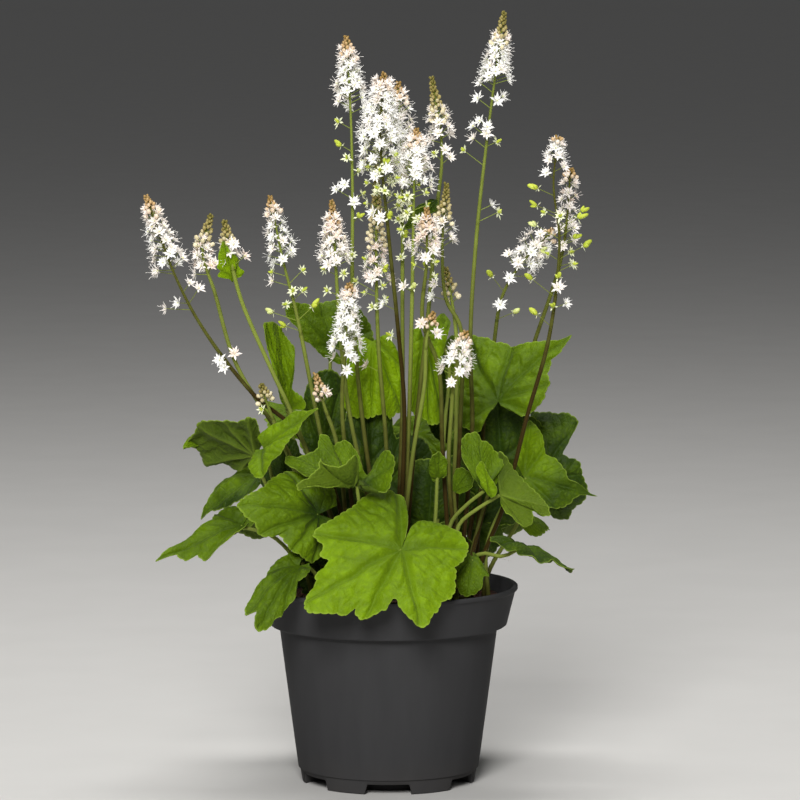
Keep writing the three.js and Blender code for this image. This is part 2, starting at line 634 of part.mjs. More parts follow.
function makeRaceme(spray) {
  const whole = sprayCurve(spray);
  const length = whole.getLength();
  const random = makeRandom(spray.seed);
  const start = spray.bare + gap / length;
  const curve = new Stretch(whole, start, 1);
  const racemeLength = length * (1 - start);
  const budSpan = Math.min(0.5, (spray.buds * budSpacing) / racemeLength);
  const axis = new Stretch(whole, start, 1 - (1 - start) * budSpan / 2);
  const solids = [tube(axis, rachisRadius, 4, Math.max(3, Math.round(racemeLength / rachisStep)))];
  let turn = random() * 6;
  for (let floret = 0; floret < spray.florets; floret += 1) {
    const rise = ((floret + 0.3) / spray.florets) ** 0.8;
    const share = 0.03 + (0.96 - budSpan) * rise + random() * 0.02;
    const stalk = floretStalk - 3 * share + random() * 1.5;
    solids.push(onRaceme(curve, share, turn, 0.35, stalk, starRim(), stamenReach));
    turn += goldenAngle;
  }
  for (let capsule = 0; capsule < (spray.capsules ?? 0); capsule += 1) {
    const share = 0.02 + (0.6 * capsule) / spray.capsules + random() * 0.02;
    const stalk = capsuleStalk + random() * 3;
    solids.push(onRaceme(curve, share, turn + 1.2, 0.25, stalk, capsuleRim, capsulePoint));
    turn += goldenAngle;
  }
  solids.push(budTip(curve, 1 - budSpan, racemeLength * budSpan));
  addPart(`raceme_${spray.name}`, joinAll(solids), materials.flower);
}

// The small leaf halfway up the leafy stem: its base is on the stem, and it has no petiole
const stemLeaf = { base: [-75, -13, 250], tip: [-79, -27, 270], face: [0.2, -0.9, 0.4],
  bend: [12, 0, 20], width: 0.65 };

function makeCrown(crown) {
  const [x, y] = crown.centre;
  const knob = new THREE.SphereGeometry(crown.radius, 8, 5);
  knob.rotateX(Math.PI / 2);
  knob.scale(1, 0.85, 0.55);
  knob.translate(x, y, soilTop);
  const solids = [solidOf(knob)];
  for (const spray of sprays.filter((each) => each.crown === crown.name)) {
    const whole = sprayCurve(spray);
    const steps = Math.max(3, Math.round((whole.getLength() * spray.bare) / stemStep));
    solids.push(tube(new Stretch(whole, 0, spray.bare), stemRadius, 4, steps));
  }
  if (crown.name === 'left') {
    const { matrix, size } = bladeFrame(stemLeaf);
    solids.push(solidOf(thickBlade(bladeSheet(stemLeaf, size)).applyMatrix4(matrix)));
  }
  addPart(`crown_${crown.name}`, joinAll(solids), materials.stem);
}

makePot();
makeSoil(leaves, crowns);
leaves.forEach(makeLeaf);
crowns.forEach(makeCrown);
sprays.forEach(makeRaceme);

export default plant;
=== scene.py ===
# %% [markdown]
# # A foamflower in a nursery pot
# A foamflower is a woodland perennial: a mound of soft lobed leaves, and above it slim stems
# that end in racemes of tiny white stars. This lesson dresses a plant whose main shapes are
# already there as plain solids. Each solid gets a finer piece in the same place, and each
# piece gets a material that is named for what it is made of. The solids come as a fixed
# frame, so the first step is to load it.

# %% The frame
import math
import random

import bmesh
import bpy
from mathutils import Matrix, Vector, noise


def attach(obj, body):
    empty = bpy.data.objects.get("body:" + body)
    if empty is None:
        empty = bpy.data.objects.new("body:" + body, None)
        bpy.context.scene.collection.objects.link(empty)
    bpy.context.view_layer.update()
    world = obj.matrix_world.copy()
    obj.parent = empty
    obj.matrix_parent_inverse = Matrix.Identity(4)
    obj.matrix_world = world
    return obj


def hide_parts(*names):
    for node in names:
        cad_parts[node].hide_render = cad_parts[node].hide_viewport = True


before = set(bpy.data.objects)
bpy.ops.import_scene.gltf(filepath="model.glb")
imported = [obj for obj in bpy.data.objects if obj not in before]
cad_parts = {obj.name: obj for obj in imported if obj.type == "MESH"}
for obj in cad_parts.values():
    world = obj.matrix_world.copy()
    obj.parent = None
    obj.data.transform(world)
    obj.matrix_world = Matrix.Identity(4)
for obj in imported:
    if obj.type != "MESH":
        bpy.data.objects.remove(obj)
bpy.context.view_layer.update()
scene = bpy.context.scene
MM = 0.001
print("nodes in the frame:", len(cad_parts))

# %% [markdown]
# ## The camera
# The pot tells where the camera stood. Its rim and its foot are circles, and how flat their
# ellipses look gives the camera's height and tilt, while the two sizes give its distance. A
# long lens far away was the best fit, which is how plants are photographed for a catalogue.

# %% The camera
PICTURE_PIXELS = 800
FOCAL_PIXELS = 4823
CAMERA_PLACE = Vector((5.8, -2400, 445)) * MM
CAMERA_TILT = 6.007

lens = bpy.data.cameras.new("catalogue_lens")
lens.sensor_width = 36
lens.lens = FOCAL_PIXELS * lens.sensor_width / PICTURE_PIXELS
camera = bpy.data.objects.new("catalogue_camera", lens)
camera.location = CAMERA_PLACE
camera.rotation_euler = (math.radians(90 - CAMERA_TILT), 0, 0)
scene.collection.objects.link(camera)
scene.camera = camera
print("lens", round(lens.lens, 1), "mm")

# %% [markdown]
# ## Light and floor
# A studio for small plants has one large soft box in front, a weaker one at each side and a
# strip above. Large lamps give soft shadows, and the broad pale band down the middle of the
# dark pot is where its wall faces the front box. The floor runs far back, where only the
# room's own light reaches it, so the white flowers stand before a deeper grey.

# %% Light and floor
FLOOR_HALF = 30
LIGHT_TARGET = Vector((0, 0, 0.2))

# name, place in metres, size, watts
SOFT_BOXES = (
    ("front_box", (-0.3, -2.3, 1.5), (0.8, 1.1), 76),
    ("left_box", (-1.9, -0.7, 1.5), (0.9, 1.2), 1.5),
    ("right_box", (1.7, -0.9, 1.1), (0.9, 1.2), 1.5),
    ("top_strip", (0.0, 0.3, 1.9), (1.2, 0.5), 22),
)


def soft_box(name, place, size, watts):
    lamp = bpy.data.lights.new(name, "AREA")
    lamp.shape = "RECTANGLE"
    lamp.size, lamp.size_y = size
    lamp.energy = watts
    holder = bpy.data.objects.new(name, lamp)
    holder.location = place
    holder.rotation_euler = (LIGHT_TARGET - Vector(place)).to_track_quat("-Z", "Y").to_euler()
    scene.collection.objects.link(holder)


for name, place, size, watts in SOFT_BOXES:
    soft_box(name, place, size, watts)
scene.view_settings.view_transform = "Standard"
print("lamps:", len(SOFT_BOXES))

# %% [markdown]
# ## Helpers for materials
# A colour is written as the hex value that a paint program shows, and Blender counts in
# linear light, so one function turns the first into the second. A second function adds one
# node with its settings and its links, because a material is then read from top to bottom. An
# input is given a number, a colour, a socket, or a node, which stands for its first output in
# use. Inputs that share a name, as those of a Math node do, go by their number.

# %% Colours and nodes
# the inputs of a Mix node that mixes colours
SHARE, FIRST, SECOND = 0, 6, 7
ROOM_COLOUR = "f2f4f7"
ROOM_STRENGTH = 0.1


def linear(hex_value, alpha=1.0):
    channels = []
    for place in (0, 2, 4):
        share = int(hex_value[place:place + 2], 16) / 255
        channels.append(share / 12.92 if share <= 0.04045 else ((share + 0.055) / 1.055) ** 2.4)
    return (*channels, alpha)


def set_inputs(tree, node, inputs):
    for name, value in inputs.items():
        if isinstance(value, bpy.types.Node):
            value = next(socket for socket in value.outputs if socket.enabled)
        if isinstance(value, bpy.types.NodeSocket):
            tree.links.new(value, node.inputs[name])
        else:
            node.inputs[name].default_value = value


def add_node(tree, kind, inputs=None, **settings):
    node = tree.nodes.new("ShaderNode" + kind)
    for name, value in settings.items():
        setattr(node, name, value)
    set_inputs(tree, node, inputs or {})
    return node


def new_material(name, **shader_values):
    """An empty material with its main shader: a value's name is the socket's, with _ for a space"""
    material = bpy.data.materials.new(name)
    material.use_nodes = True
    tree = material.node_tree
    tree.nodes.clear()
    values = {key.replace("_", " "): value for key, value in shader_values.items()}
    shader = add_node(tree, "BsdfPrincipled", values)
    add_node(tree, "OutputMaterial", {"Surface": shader})
    return material, tree, shader


def per_metre(size_mm):
    """The scale of a pattern on object coordinates whose grains are this wide"""
    return 1 / (size_mm * MM)


room = bpy.data.worlds.new("studio_room")
room.use_nodes = True
backdrop = room.node_tree.nodes["Background"]
set_inputs(room.node_tree, backdrop, {"Color": linear(ROOM_COLOUR), "Strength": ROOM_STRENGTH})
scene.world = room
print("room light", ROOM_STRENGTH)

# %% [markdown]
# ## The floor's finish
# The floor is painted board: matt, nearly white, with the faint mottling of a roller.

# %% The floor
def painted_board():
    material, tree, shader = new_material("painted_board", Roughness=0.75)
    place = add_node(tree, "TexCoord").outputs["Object"]
    mottle = add_node(tree, "TexNoise", {"Vector": place, "Scale": per_metre(60), "Detail": 3})
    colour = add_node(tree, "Mix", {
        SHARE: mottle, FIRST: linear("c9c7c3"), SECOND: linear("d0ceca")}, data_type="RGBA")
    set_inputs(tree, shader, {"Base Color": colour})
    return material


floor_mesh = bpy.data.meshes.new("floor")
bm = bmesh.new()
bmesh.ops.create_grid(bm, x_segments=1, y_segments=1, size=FLOOR_HALF)
bm.to_mesh(floor_mesh)
bm.free()
floor_mesh.materials.append(painted_board())
floor = bpy.data.objects.new("floor", floor_mesh)
scene.collection.objects.link(floor)
print("floor", 2 * FLOOR_HALF, "m wide")

# %% [markdown]
# ## Helpers for shapes
# Everything below is modelled in millimetres and shrunk to metres at the end. Stems are
# tubes: a small circle that is extruded along a smooth curve, one step at a time. What
# repeats hundreds of times, such as a floret, is modelled once, and its copies are joined
# into one mesh, which is what joining objects does in the editor.

# %% Curves
NEAR = 0.01


class Route:
    """A smooth curve through a few points, with points and directions at shares of its length"""

    def __init__(self, points, steps=20):
        knots = [Vector(point) for point in points]
        knots = [2 * knots[0] - knots[1], *knots, 2 * knots[-1] - knots[-2]]
        self.points = []
        for before, start, end, after in zip(knots, knots[1:], knots[2:], knots[3:]):
            first = math.sqrt((start - before).length)
            middle = math.sqrt((end - start).length)
            last = math.sqrt((after - end).length)
            chord = (end - start) / middle
            leave = ((start - before) / first - (end - before) / (first + middle) + chord) * middle
            reach = (chord - (after - start) / (middle + last) + (after - end) / last) * middle
            bend = 3 * (end - start) - 2 * leave - reach
            twist = 2 * (start - end) + leave + reach
            for step in range(steps):
                t = step / steps
                self.points.append(start + leave * t + bend * t * t + twist * t * t * t)
        self.points.append(knots[-2])
        self.lengths = [0.0]
        for one, other in zip(self.points, self.points[1:]):
            self.lengths.append(self.lengths[-1] + (other - one).length)
        self.length = self.lengths[-1]

    def at(self, share):
        target = min(max(share, 0), 1) * self.length
        for index in range(1, len(self.lengths)):
            if self.lengths[index] >= target:
                span = self.lengths[index] - self.lengths[index - 1]
                part = (target - self.lengths[index - 1]) / span if span else 0
                return self.points[index - 1].lerp(self.points[index], part)
        return self.points[-1].copy()

    def along(self, share):
        return (self.at(min(share + NEAR, 1)) - self.at(max(share - NEAR, 0))).normalized()


def frames_along(points):
    """A turning frame at each point: Z along the curve, with no twist between steps"""
    frames = []
    side = None
    for index, point in enumerate(points):
        ahead = points[min(index + 1, len(points) - 1)] - points[max(index - 1, 0)]
        ahead.normalize()
        if side is None:
            side = ahead.orthogonal().normalized()
        side = (side - ahead * side.dot(ahead)).normalized()
        other = ahead.cross(side)
        turn = Matrix((side, other, ahead)).transposed().to_4x4()
        frames.append(Matrix.Translation(point) @ turn)
    return frames


print("curves are ready")

# %% Tubes, copies and finished pieces
def tube(bm, points, radii, tone, material, sides=8):
    """Extrudes a circle along the points and closes its ends. A list of tones has one a point"""
    layer = bm.verts.layers.float["tone"]
    places = [place @ Matrix.Diagonal((radius, radius, radius, 1))
              for place, radius in zip(frames_along(points), radii)]
    ring = bmesh.ops.create_circle(bm, segments=sides, radius=1)["verts"]
    edges = list(dict.fromkeys(edge for vert in ring for edge in vert.link_edges))
    bmesh.ops.transform(bm, matrix=places[0], verts=ring)
    made = list(ring)
    faces = bmesh.ops.edgeloop_fill(bm, edges=edges)["faces"]
    for before, after in zip(places, places[1:]):
        grown = bmesh.ops.extrude_edge_only(bm, edges=edges)["geom"]
        ring = [part for part in grown if isinstance(part, bmesh.types.BMVert)]
        fresh = set(ring)
        edges = [part for part in grown if isinstance(part, bmesh.types.BMEdge)
                 and part.verts[0] in fresh and part.verts[1] in fresh]
        faces += [part for part in grown if isinstance(part, bmesh.types.BMFace)]
        bmesh.ops.transform(bm, matrix=after @ before.inverted(), verts=ring)
        made += ring
    faces += bmesh.ops.edgeloop_fill(bm, edges=edges)["faces"]
    for index, vert in enumerate(made):
        vert[layer] = tone[index // sides] if isinstance(tone, list) else tone
    for face in faces:
        face.smooth = len(face.verts) == 4
        face.material_index = material
    return made


def new_bmesh():
    bm = bmesh.new()
    bm.verts.layers.float.new("tone")
    bm.verts.layers.float_vector.new("vein")
    bm.verts.layers.float_vector.new("flat")
    return bm


def to_mesh(bm, name, materials):
    """Shrinks the millimetres to metres and makes the mesh"""
    bmesh.ops.scale(bm, vec=(MM, MM, MM), verts=bm.verts)
    bmesh.ops.recalc_face_normals(bm, faces=bm.faces)
    mesh = bpy.data.meshes.new(name)
    bm.to_mesh(mesh)
    bm.free()
    for material in materials:
        mesh.materials.append(material)
    return mesh


def to_piece(mesh, copies=()):
    """Makes the object and joins the placed copies of small shapes to it"""
    piece = bpy.data.objects.new(mesh.name, mesh)
    scene.collection.objects.link(piece)
    helpers = []
    for shape, place in copies:
        helper = bpy.data.objects.new("copy", shape)
        scene.collection.objects.link(helper)
        helper.matrix_world = place
        helpers.append(helper)
    if helpers:
        with bpy.context.temp_override(
                active_object=piece, object=piece, selected_editable_objects=[piece, *helpers]):
            bpy.ops.object.join()
    return piece


def tie(piece, node):
    """Puts the piece in the place of its plain solid and counts its triangles"""
    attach(piece, "root")
    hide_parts(node)
    piece.data.calc_loop_triangles()
    return len(piece.data.loop_triangles)


def placed(origin, toward, roll=0.0, size=1.0, stretch=1.0):
    """The place of a copy: its Z axis looks along a direction, and its size is in millimetres"""
    turn = Vector(toward).to_track_quat("Z", "Y").to_matrix().to_4x4()
    scale = Matrix.Diagonal((size, size, size * stretch, 1))
    return Matrix.Translation(Vector(origin) * MM) @ turn @ Matrix.Rotation(roll, 4, "Z") @ scale


triangles = {}
print("shape helpers are ready")

# %% [markdown]
# ## The pot
# A nursery pot is injection moulded from black polypropylene. A wide band under the rim
# stiffens it and lets pots stack, the wall tapers, and six low arches in the foot let water
# out. The wall is one profile that is spun round the axis. The arches come afterwards: the
# columns of vertices beside each arch are pinched together, and the foot between them is
# lifted, which is exactly what the steel of the mould does to the plastic.

# %% The pot's plastic
def moulded_polypropylene():
    """Moulded polypropylene: dark, waxy, a fine spark-eroded grain, with dust in its pores"""
    material, tree, shader = new_material("moulded_polypropylene", IOR=1.49, Specular_IOR_Level=0.015)
    place = add_node(tree, "TexCoord").outputs["Object"]
    height = add_node(tree, "SeparateXYZ", {"Vector": place}).outputs["Z"]
    flow = add_node(tree, "Mapping", {"Vector": place, "Scale": (1, 1, 0.12)})
    streaks = add_node(tree, "TexNoise", {
        "Vector": flow, "Scale": per_metre(9), "Detail": 5, "Roughness": 0.6})
    dust = add_node(tree, "TexNoise", {"Vector": place, "Scale": per_metre(22), "Detail": 6})
    low = add_node(tree, "MapRange", {
        "Value": height, "From Min": 0.02, "From Max": 0.0, "To Min": 0.03, "To Max": 0.3})
    dusty = add_node(tree, "Math", {0: dust, 1: low}, operation="MULTIPLY")
    plastic = add_node(tree, "Mix", {
        SHARE: streaks, FIRST: linear("333334"), SECOND: linear("3b3b3c")}, data_type="RGBA")
    colour = add_node(tree, "Mix", {
        SHARE: dusty, FIRST: plastic, SECOND: linear("504a43")}, data_type="RGBA")
    rough = add_node(tree, "MapRange", {
        "Value": streaks, "From Min": 0.3, "From Max": 0.7, "To Min": 0.5, "To Max": 0.58})
    grain = add_node(tree, "TexNoise", {"Vector": place, "Scale": per_metre(0.5), "Detail": 2})
    relief = add_node(tree, "Bump", {"Height": grain, "Strength": 0.2, "Distance": 0.1 * MM})
    set_inputs(tree, shader, {"Base Color": colour, "Roughness": rough, "Normal": relief})
    return material


polypropylene = moulded_polypropylene()
print("material", polypropylene.name)

# %% The pot's shape
POT_HEIGHT = 99.6
RIM_RADIUS = 65
BAND_TOP_RADIUS = 63.9
BAND_MIDDLE, BAND_MIDDLE_RADIUS = 89, 61.8
BAND_LOW, BAND_LOW_RADIUS = 79.6, 59.6
SHOULDER_RADIUS = 54.8
FOOT_RADIUS = 44.5
HUB_RADIUS = 15
INNER_FOOT = 9
WALL = 1.4
FLOOR_THICK = 1.8
ARCH_COUNT = 6
ARCH_HALF_WIDTH = 10.5
ARCH_HEIGHT = 5.2
ARCH_INNER_RADIUS = 31
SLOT_HALF_ANGLE = 8
SLOT_INNER, SLOT_OUTER = 34.5, 39.5
LEDGE_HEIGHT = 7.6
SLOT_REACH = 12
ABOVE_ARCHES = 30
JAMB_HALF = 0.15
POT_STEPS = 144
SHARP_CORNER = math.radians(38)
MERGE = 0.001


def wall_radius(height):
    return FOOT_RADIUS + (SHOULDER_RADIUS - FOOT_RADIUS) * height / (BAND_LOW - 1)


def pot_profile():
    """Radius and height from the middle of the foot up the outside and down the inside"""
    ledge = wall_radius(LEDGE_HEIGHT)
    outside = [
        (0, 0), (HUB_RADIUS, 0), (ARCH_INNER_RADIUS - 0.3, 0), (ARCH_INNER_RADIUS, 0), (SLOT_INNER, 0),
        (SLOT_OUTER, 0), (FOOT_RADIUS - 1.9, 0), (FOOT_RADIUS - 1.1, 0.5),
        (ledge - 1.0, LEDGE_HEIGHT - 0.9), (ledge - 0.9, LEDGE_HEIGHT - 0.3),
        (ledge - 0.1, LEDGE_HEIGHT), (ledge, LEDGE_HEIGHT + 0.5),
        *((wall_radius(height), height) for height in (30, 55, BAND_LOW - 3)),
        (SHOULDER_RADIUS - 0.1, BAND_LOW - 0.9), (SHOULDER_RADIUS + 0.5, BAND_LOW - 0.2),
        (BAND_LOW_RADIUS - 0.7, BAND_LOW - 0.1), (BAND_LOW_RADIUS - 0.1, BAND_LOW + 0.3),
        (BAND_LOW_RADIUS + 0.1, BAND_LOW + 0.9), (BAND_MIDDLE_RADIUS, BAND_MIDDLE),
        (BAND_TOP_RADIUS - 0.2, POT_HEIGHT - 3.1), (BAND_TOP_RADIUS + 0.2, POT_HEIGHT - 2.5),
        (RIM_RADIUS - 0.3, POT_HEIGHT - 2.2), (RIM_RADIUS, POT_HEIGHT - 1.8),
        (RIM_RADIUS, POT_HEIGHT - 0.6), (RIM_RADIUS - 0.5, POT_HEIGHT - 0.1),
        (RIM_RADIUS - 1.2, POT_HEIGHT)]
    inside = [
        (BAND_TOP_RADIUS - WALL + 0.3, POT_HEIGHT - 0.2), (BAND_TOP_RADIUS - WALL - 0.1, POT_HEIGHT - 0.8),
        (BAND_MIDDLE_RADIUS - WALL, BAND_MIDDLE), (BAND_LOW_RADIUS - WALL, BAND_LOW + 1),
        (SHOULDER_RADIUS - WALL, BAND_LOW),
        *((wall_radius(height) - WALL, height) for height in (40, INNER_FOOT)),
        *((radius, FLOOR_THICK) for radius in (
            FOOT_RADIUS - WALL - 0.3, SLOT_OUTER, SLOT_INNER, ARCH_INNER_RADIUS - WALL,
            ARCH_INNER_RADIUS - WALL - 0.3, HUB_RADIUS, 0))]
    return outside + inside


def arch_offset(vert):
    """How far a vertex is turned from the middle of its nearest arch, in degrees"""
    pitch = 360 / ARCH_COUNT
    degrees = math.degrees(math.atan2(vert.co.y, vert.co.x)) + 90
    return (degrees + pitch / 2) % pitch - pitch / 2


def spin_profile(bm, outline, steps):
    """Spins radii and heights round the axis"""
    profile = [bm.verts.new((radius, 0, height)) for radius, height in outline]
    edges = [bm.edges.new(pair) for pair in zip(profile, profile[1:])]
    bmesh.ops.spin(bm, geom=profile + edges, cent=(0, 0, 0), axis=(0, 0, 1), angle=2 * math.pi,
                   steps=steps, use_merge=True)
    bmesh.ops.remove_doubles(bm, verts=bm.verts, dist=MERGE)


def raise_arches(bm):
    """Pinches the columns beside each arch together and lifts the foot between them"""
    column = 360 / POT_STEPS
    for vert in bm.verts:
        radius = vert.co.xy.length
        if radius < ARCH_INNER_RADIUS - 3 or vert.co.z > ABOVE_ARCHES:
            continue
        edge = math.degrees(math.asin(ARCH_HALF_WIDTH / radius))
        beside = math.ceil(edge / column) * column
        offset = arch_offset(vert)
        size = abs(offset)
        if vert.co.z < LEDGE_HEIGHT - 0.5:
            for place, goal in ((beside, edge + JAMB_HALF), (beside - column, edge - JAMB_HALF)):
                if abs(size - place) < column / 4:
                    turn = math.radians(math.copysign(goal - size, offset))
                    bmesh.ops.rotate(bm, verts=[vert], matrix=Matrix.Rotation(turn, 3, "Z"))
        if size >= beside - column / 2:
            continue
        if vert.co.z < 1 and radius > ARCH_INNER_RADIUS - 0.1:
            vert.co.z = ARCH_HEIGHT
        elif 1 < vert.co.z < 3 and radius > ARCH_INNER_RADIUS - WALL - 0.1:
            vert.co.z = ARCH_HEIGHT + WALL


def cut_slots(bm):
    """Opens a slot in the roof of each arch and joins its lower edge to its upper one"""
    slots = []
    for face in bm.faces:
        middle = face.calc_center_median()
        roof = min(abs(middle.z - ARCH_HEIGHT), abs(middle.z - ARCH_HEIGHT - WALL)) < 0.1
        narrow = all(abs(arch_offset(vert)) < SLOT_HALF_ANGLE for vert in (face.verts[0], face.verts[2]))
        if roof and narrow and SLOT_INNER < middle.xy.length < SLOT_OUTER and abs(face.normal.z) > 0.9:
            slots.append(face)
    bmesh.ops.delete(bm, geom=slots, context="FACES_ONLY")
    bmesh.ops.delete(bm, geom=[edge for edge in bm.edges if not edge.link_faces], context="EDGES")
    for turn in range(ARCH_COUNT):
        middle = math.radians(turn * 360 / ARCH_COUNT - 90)
        seat = Vector((math.cos(middle), math.sin(middle))) * (SLOT_INNER + SLOT_OUTER) / 2
        loose = [edge for edge in bm.edges
                 if edge.is_boundary and (edge.verts[0].co.xy - seat).length < SLOT_REACH]
        bmesh.ops.bridge_loops(bm, edges=loose)


def nursery_pot():
    bm = new_bmesh()
    spin_profile(bm, pot_profile(), POT_STEPS)
    raise_arches(bm)
    bm.normal_update()
    cut_slots(bm)
    for face in bm.faces:
        face.smooth = True
    for edge in bm.edges:
        edge.smooth = not (edge.is_manifold and edge.calc_face_angle() > SHARP_CORNER)
    return to_mesh(bm, "nursery_pot", [polypropylene])


triangles["pot"] = tie(to_piece(nursery_pot()), "pot")
print("pot:", triangles["pot"], "triangles")

# %% [markdown]
# ## The peat
# The root ball fills the pot to a few millimetres below the rim. Peat is fibre and crumb, so
# its surface is a spun disc that noise makes uneven, and some hundreds of loose crumbs lie on
# it. Each crumb is an icosphere with its points pushed in and out.

# %% The peat's finish
def moist_peat():
    """Moist peat: red-brown crumb, nearly matt, with pale fibres, and darker in the crumb's hollows"""
    material, tree, shader = new_material("moist_peat", Roughness=0.85)
    place = add_node(tree, "TexCoord").outputs["Object"]
    crumb = add_node(tree, "TexNoise", {
        "Vector": place, "Scale": per_metre(2.2), "Detail": 6, "Roughness": 0.7})
    fibre_place = add_node(tree, "Mapping", {"Vector": place, "Scale": (1, 0.15, 0.3)})
    fibre = add_node(tree, "TexNoise", {"Vector": fibre_place, "Scale": per_metre(0.9), "Detail": 4})
    earth = add_node(tree, "MapRange", {
        "Value": crumb, "From Min": 0.35, "From Max": 0.65}, interpolation_type="SMOOTHSTEP")
    pale = add_node(tree, "MapRange", {"Value": fibre, "From Min": 0.6, "From Max": 0.75, "To Max": 0.5})
    dark = add_node(tree, "Mix", {
        SHARE: earth, FIRST: linear("24130c"), SECOND: linear("58301d")}, data_type="RGBA")
    colour = add_node(tree, "Mix", {SHARE: pale, FIRST: dark, SECOND: linear("7d5234")}, data_type="RGBA")
    relief = add_node(tree, "Bump", {"Height": crumb, "Strength": 0.9, "Distance": 1.2 * MM})
    set_inputs(tree, shader, {"Base Color": colour, "Normal": relief})
    return material


peat = moist_peat()
print("material", peat.name)

# %% The peat's shape
SOIL_TOP = 92.5
SOIL_RADIUS = 60.9
SOIL_RINGS = 30
SOIL_STEPS = 110
INNER_SLOPE = 0.226
CRUMB_COUNT = 620


def crumb_shape(seed):
    bm = new_bmesh()
    bmesh.ops.create_icosphere(bm, subdivisions=1, radius=1)
    for vert in bm.verts:
        vert.co *= 1 + 0.45 * noise.noise(vert.co * 1.7 + Vector((seed * 7, 0, 0)))
        vert.co.z *= 0.7
    return to_mesh(bm, "crumb", [peat])


def soil_height(x, y):
    """The top of the peat: two long waves and two sizes of crumb, lower at the wall"""
    lumps = math.sin(x * 0.31 + 1.3) * math.cos(y * 0.27 + 0.4) + 0.6 * math.sin(x * 0.11 - y * 0.17)
    rough = noise.noise(Vector((x, y, 3)) * 0.22) * 1.2 + noise.noise(Vector((x, y, 9)) * 0.6) * 0.7
    return SOIL_TOP + 0.8 * lumps + rough - 1.5 * (math.hypot(x, y) / SOIL_RADIUS) ** 6


def root_ball():
    bm = new_bmesh()
    outline = [(SOIL_RADIUS * ring / SOIL_RINGS, SOIL_TOP) for ring in range(SOIL_RINGS + 1)]
    outline += [(BAND_LOW_RADIUS - WALL - 0.2, BAND_LOW + 2), (SHOULDER_RADIUS - WALL - 0.4, BAND_LOW),
                (wall_radius(INNER_FOOT) - WALL - 0.4, INNER_FOOT), (0, INNER_FOOT)]
    spin_profile(bm, outline, SOIL_STEPS)
    for vert in bm.verts:
        if vert.co.z > SOIL_TOP - 1:
            vert.co.z = soil_height(vert.co.x, vert.co.y)
            if vert.co.xy.length > SOIL_RADIUS - 1:
                vert.co.z = min(vert.co.z, SOIL_TOP)
                reach = BAND_LOW_RADIUS - WALL - 0.3 + (vert.co.z - BAND_LOW - 1) * INNER_SLOPE
                vert.co.xy = vert.co.xy.normalized() * reach
    for face in bm.faces:
        face.smooth = True
    draw = random.Random(5)
    shapes = [crumb_shape(seed) for seed in range(4)]
    copies = []
    for _ in range(CRUMB_COUNT):
        distance = (SOIL_RADIUS - 3) * math.sqrt(draw.random())
        angle = draw.random() * 2 * math.pi
        x, y = distance * math.cos(angle), distance * math.sin(angle)
        size = 0.4 + 1.3 * draw.random() ** 2.5
        toward = (draw.uniform(-1, 1), draw.uniform(-1, 1), 1)
        place = (x, y, soil_height(x, y) + size * 0.2)
        copies.append((draw.choice(shapes), placed(place, toward, draw.random() * 6, size)))
    return to_piece(to_mesh(bm, "peat_root_ball", [peat]), copies)


triangles["soil"] = tie(root_ball(), "soil")
print("peat:", triangles["soil"], "triangles")

# %% [markdown]
# ## The leaf's finish
# A foamflower leaf is soft and hairy. Its veins lie in grooves on the upper face, and the
# blade swells between them, lime green in the sun and deeper green in the shade. Every vertex
# carries its place on the flat leaf, as shares of the leaf's length: how far along the nearest
# main vein it lies, how far beside it, and how near the margin. The pattern is drawn on those
# places, so the veins follow the blade however it curls.

# %% The leaf's finish
UPPER, UNDER, PETIOLE = range(3)
VEIN_SPACING = 0.16
VEIN_SLANT = 0.85
NET_CELLS = 12
NET_DEPTH = 0.32


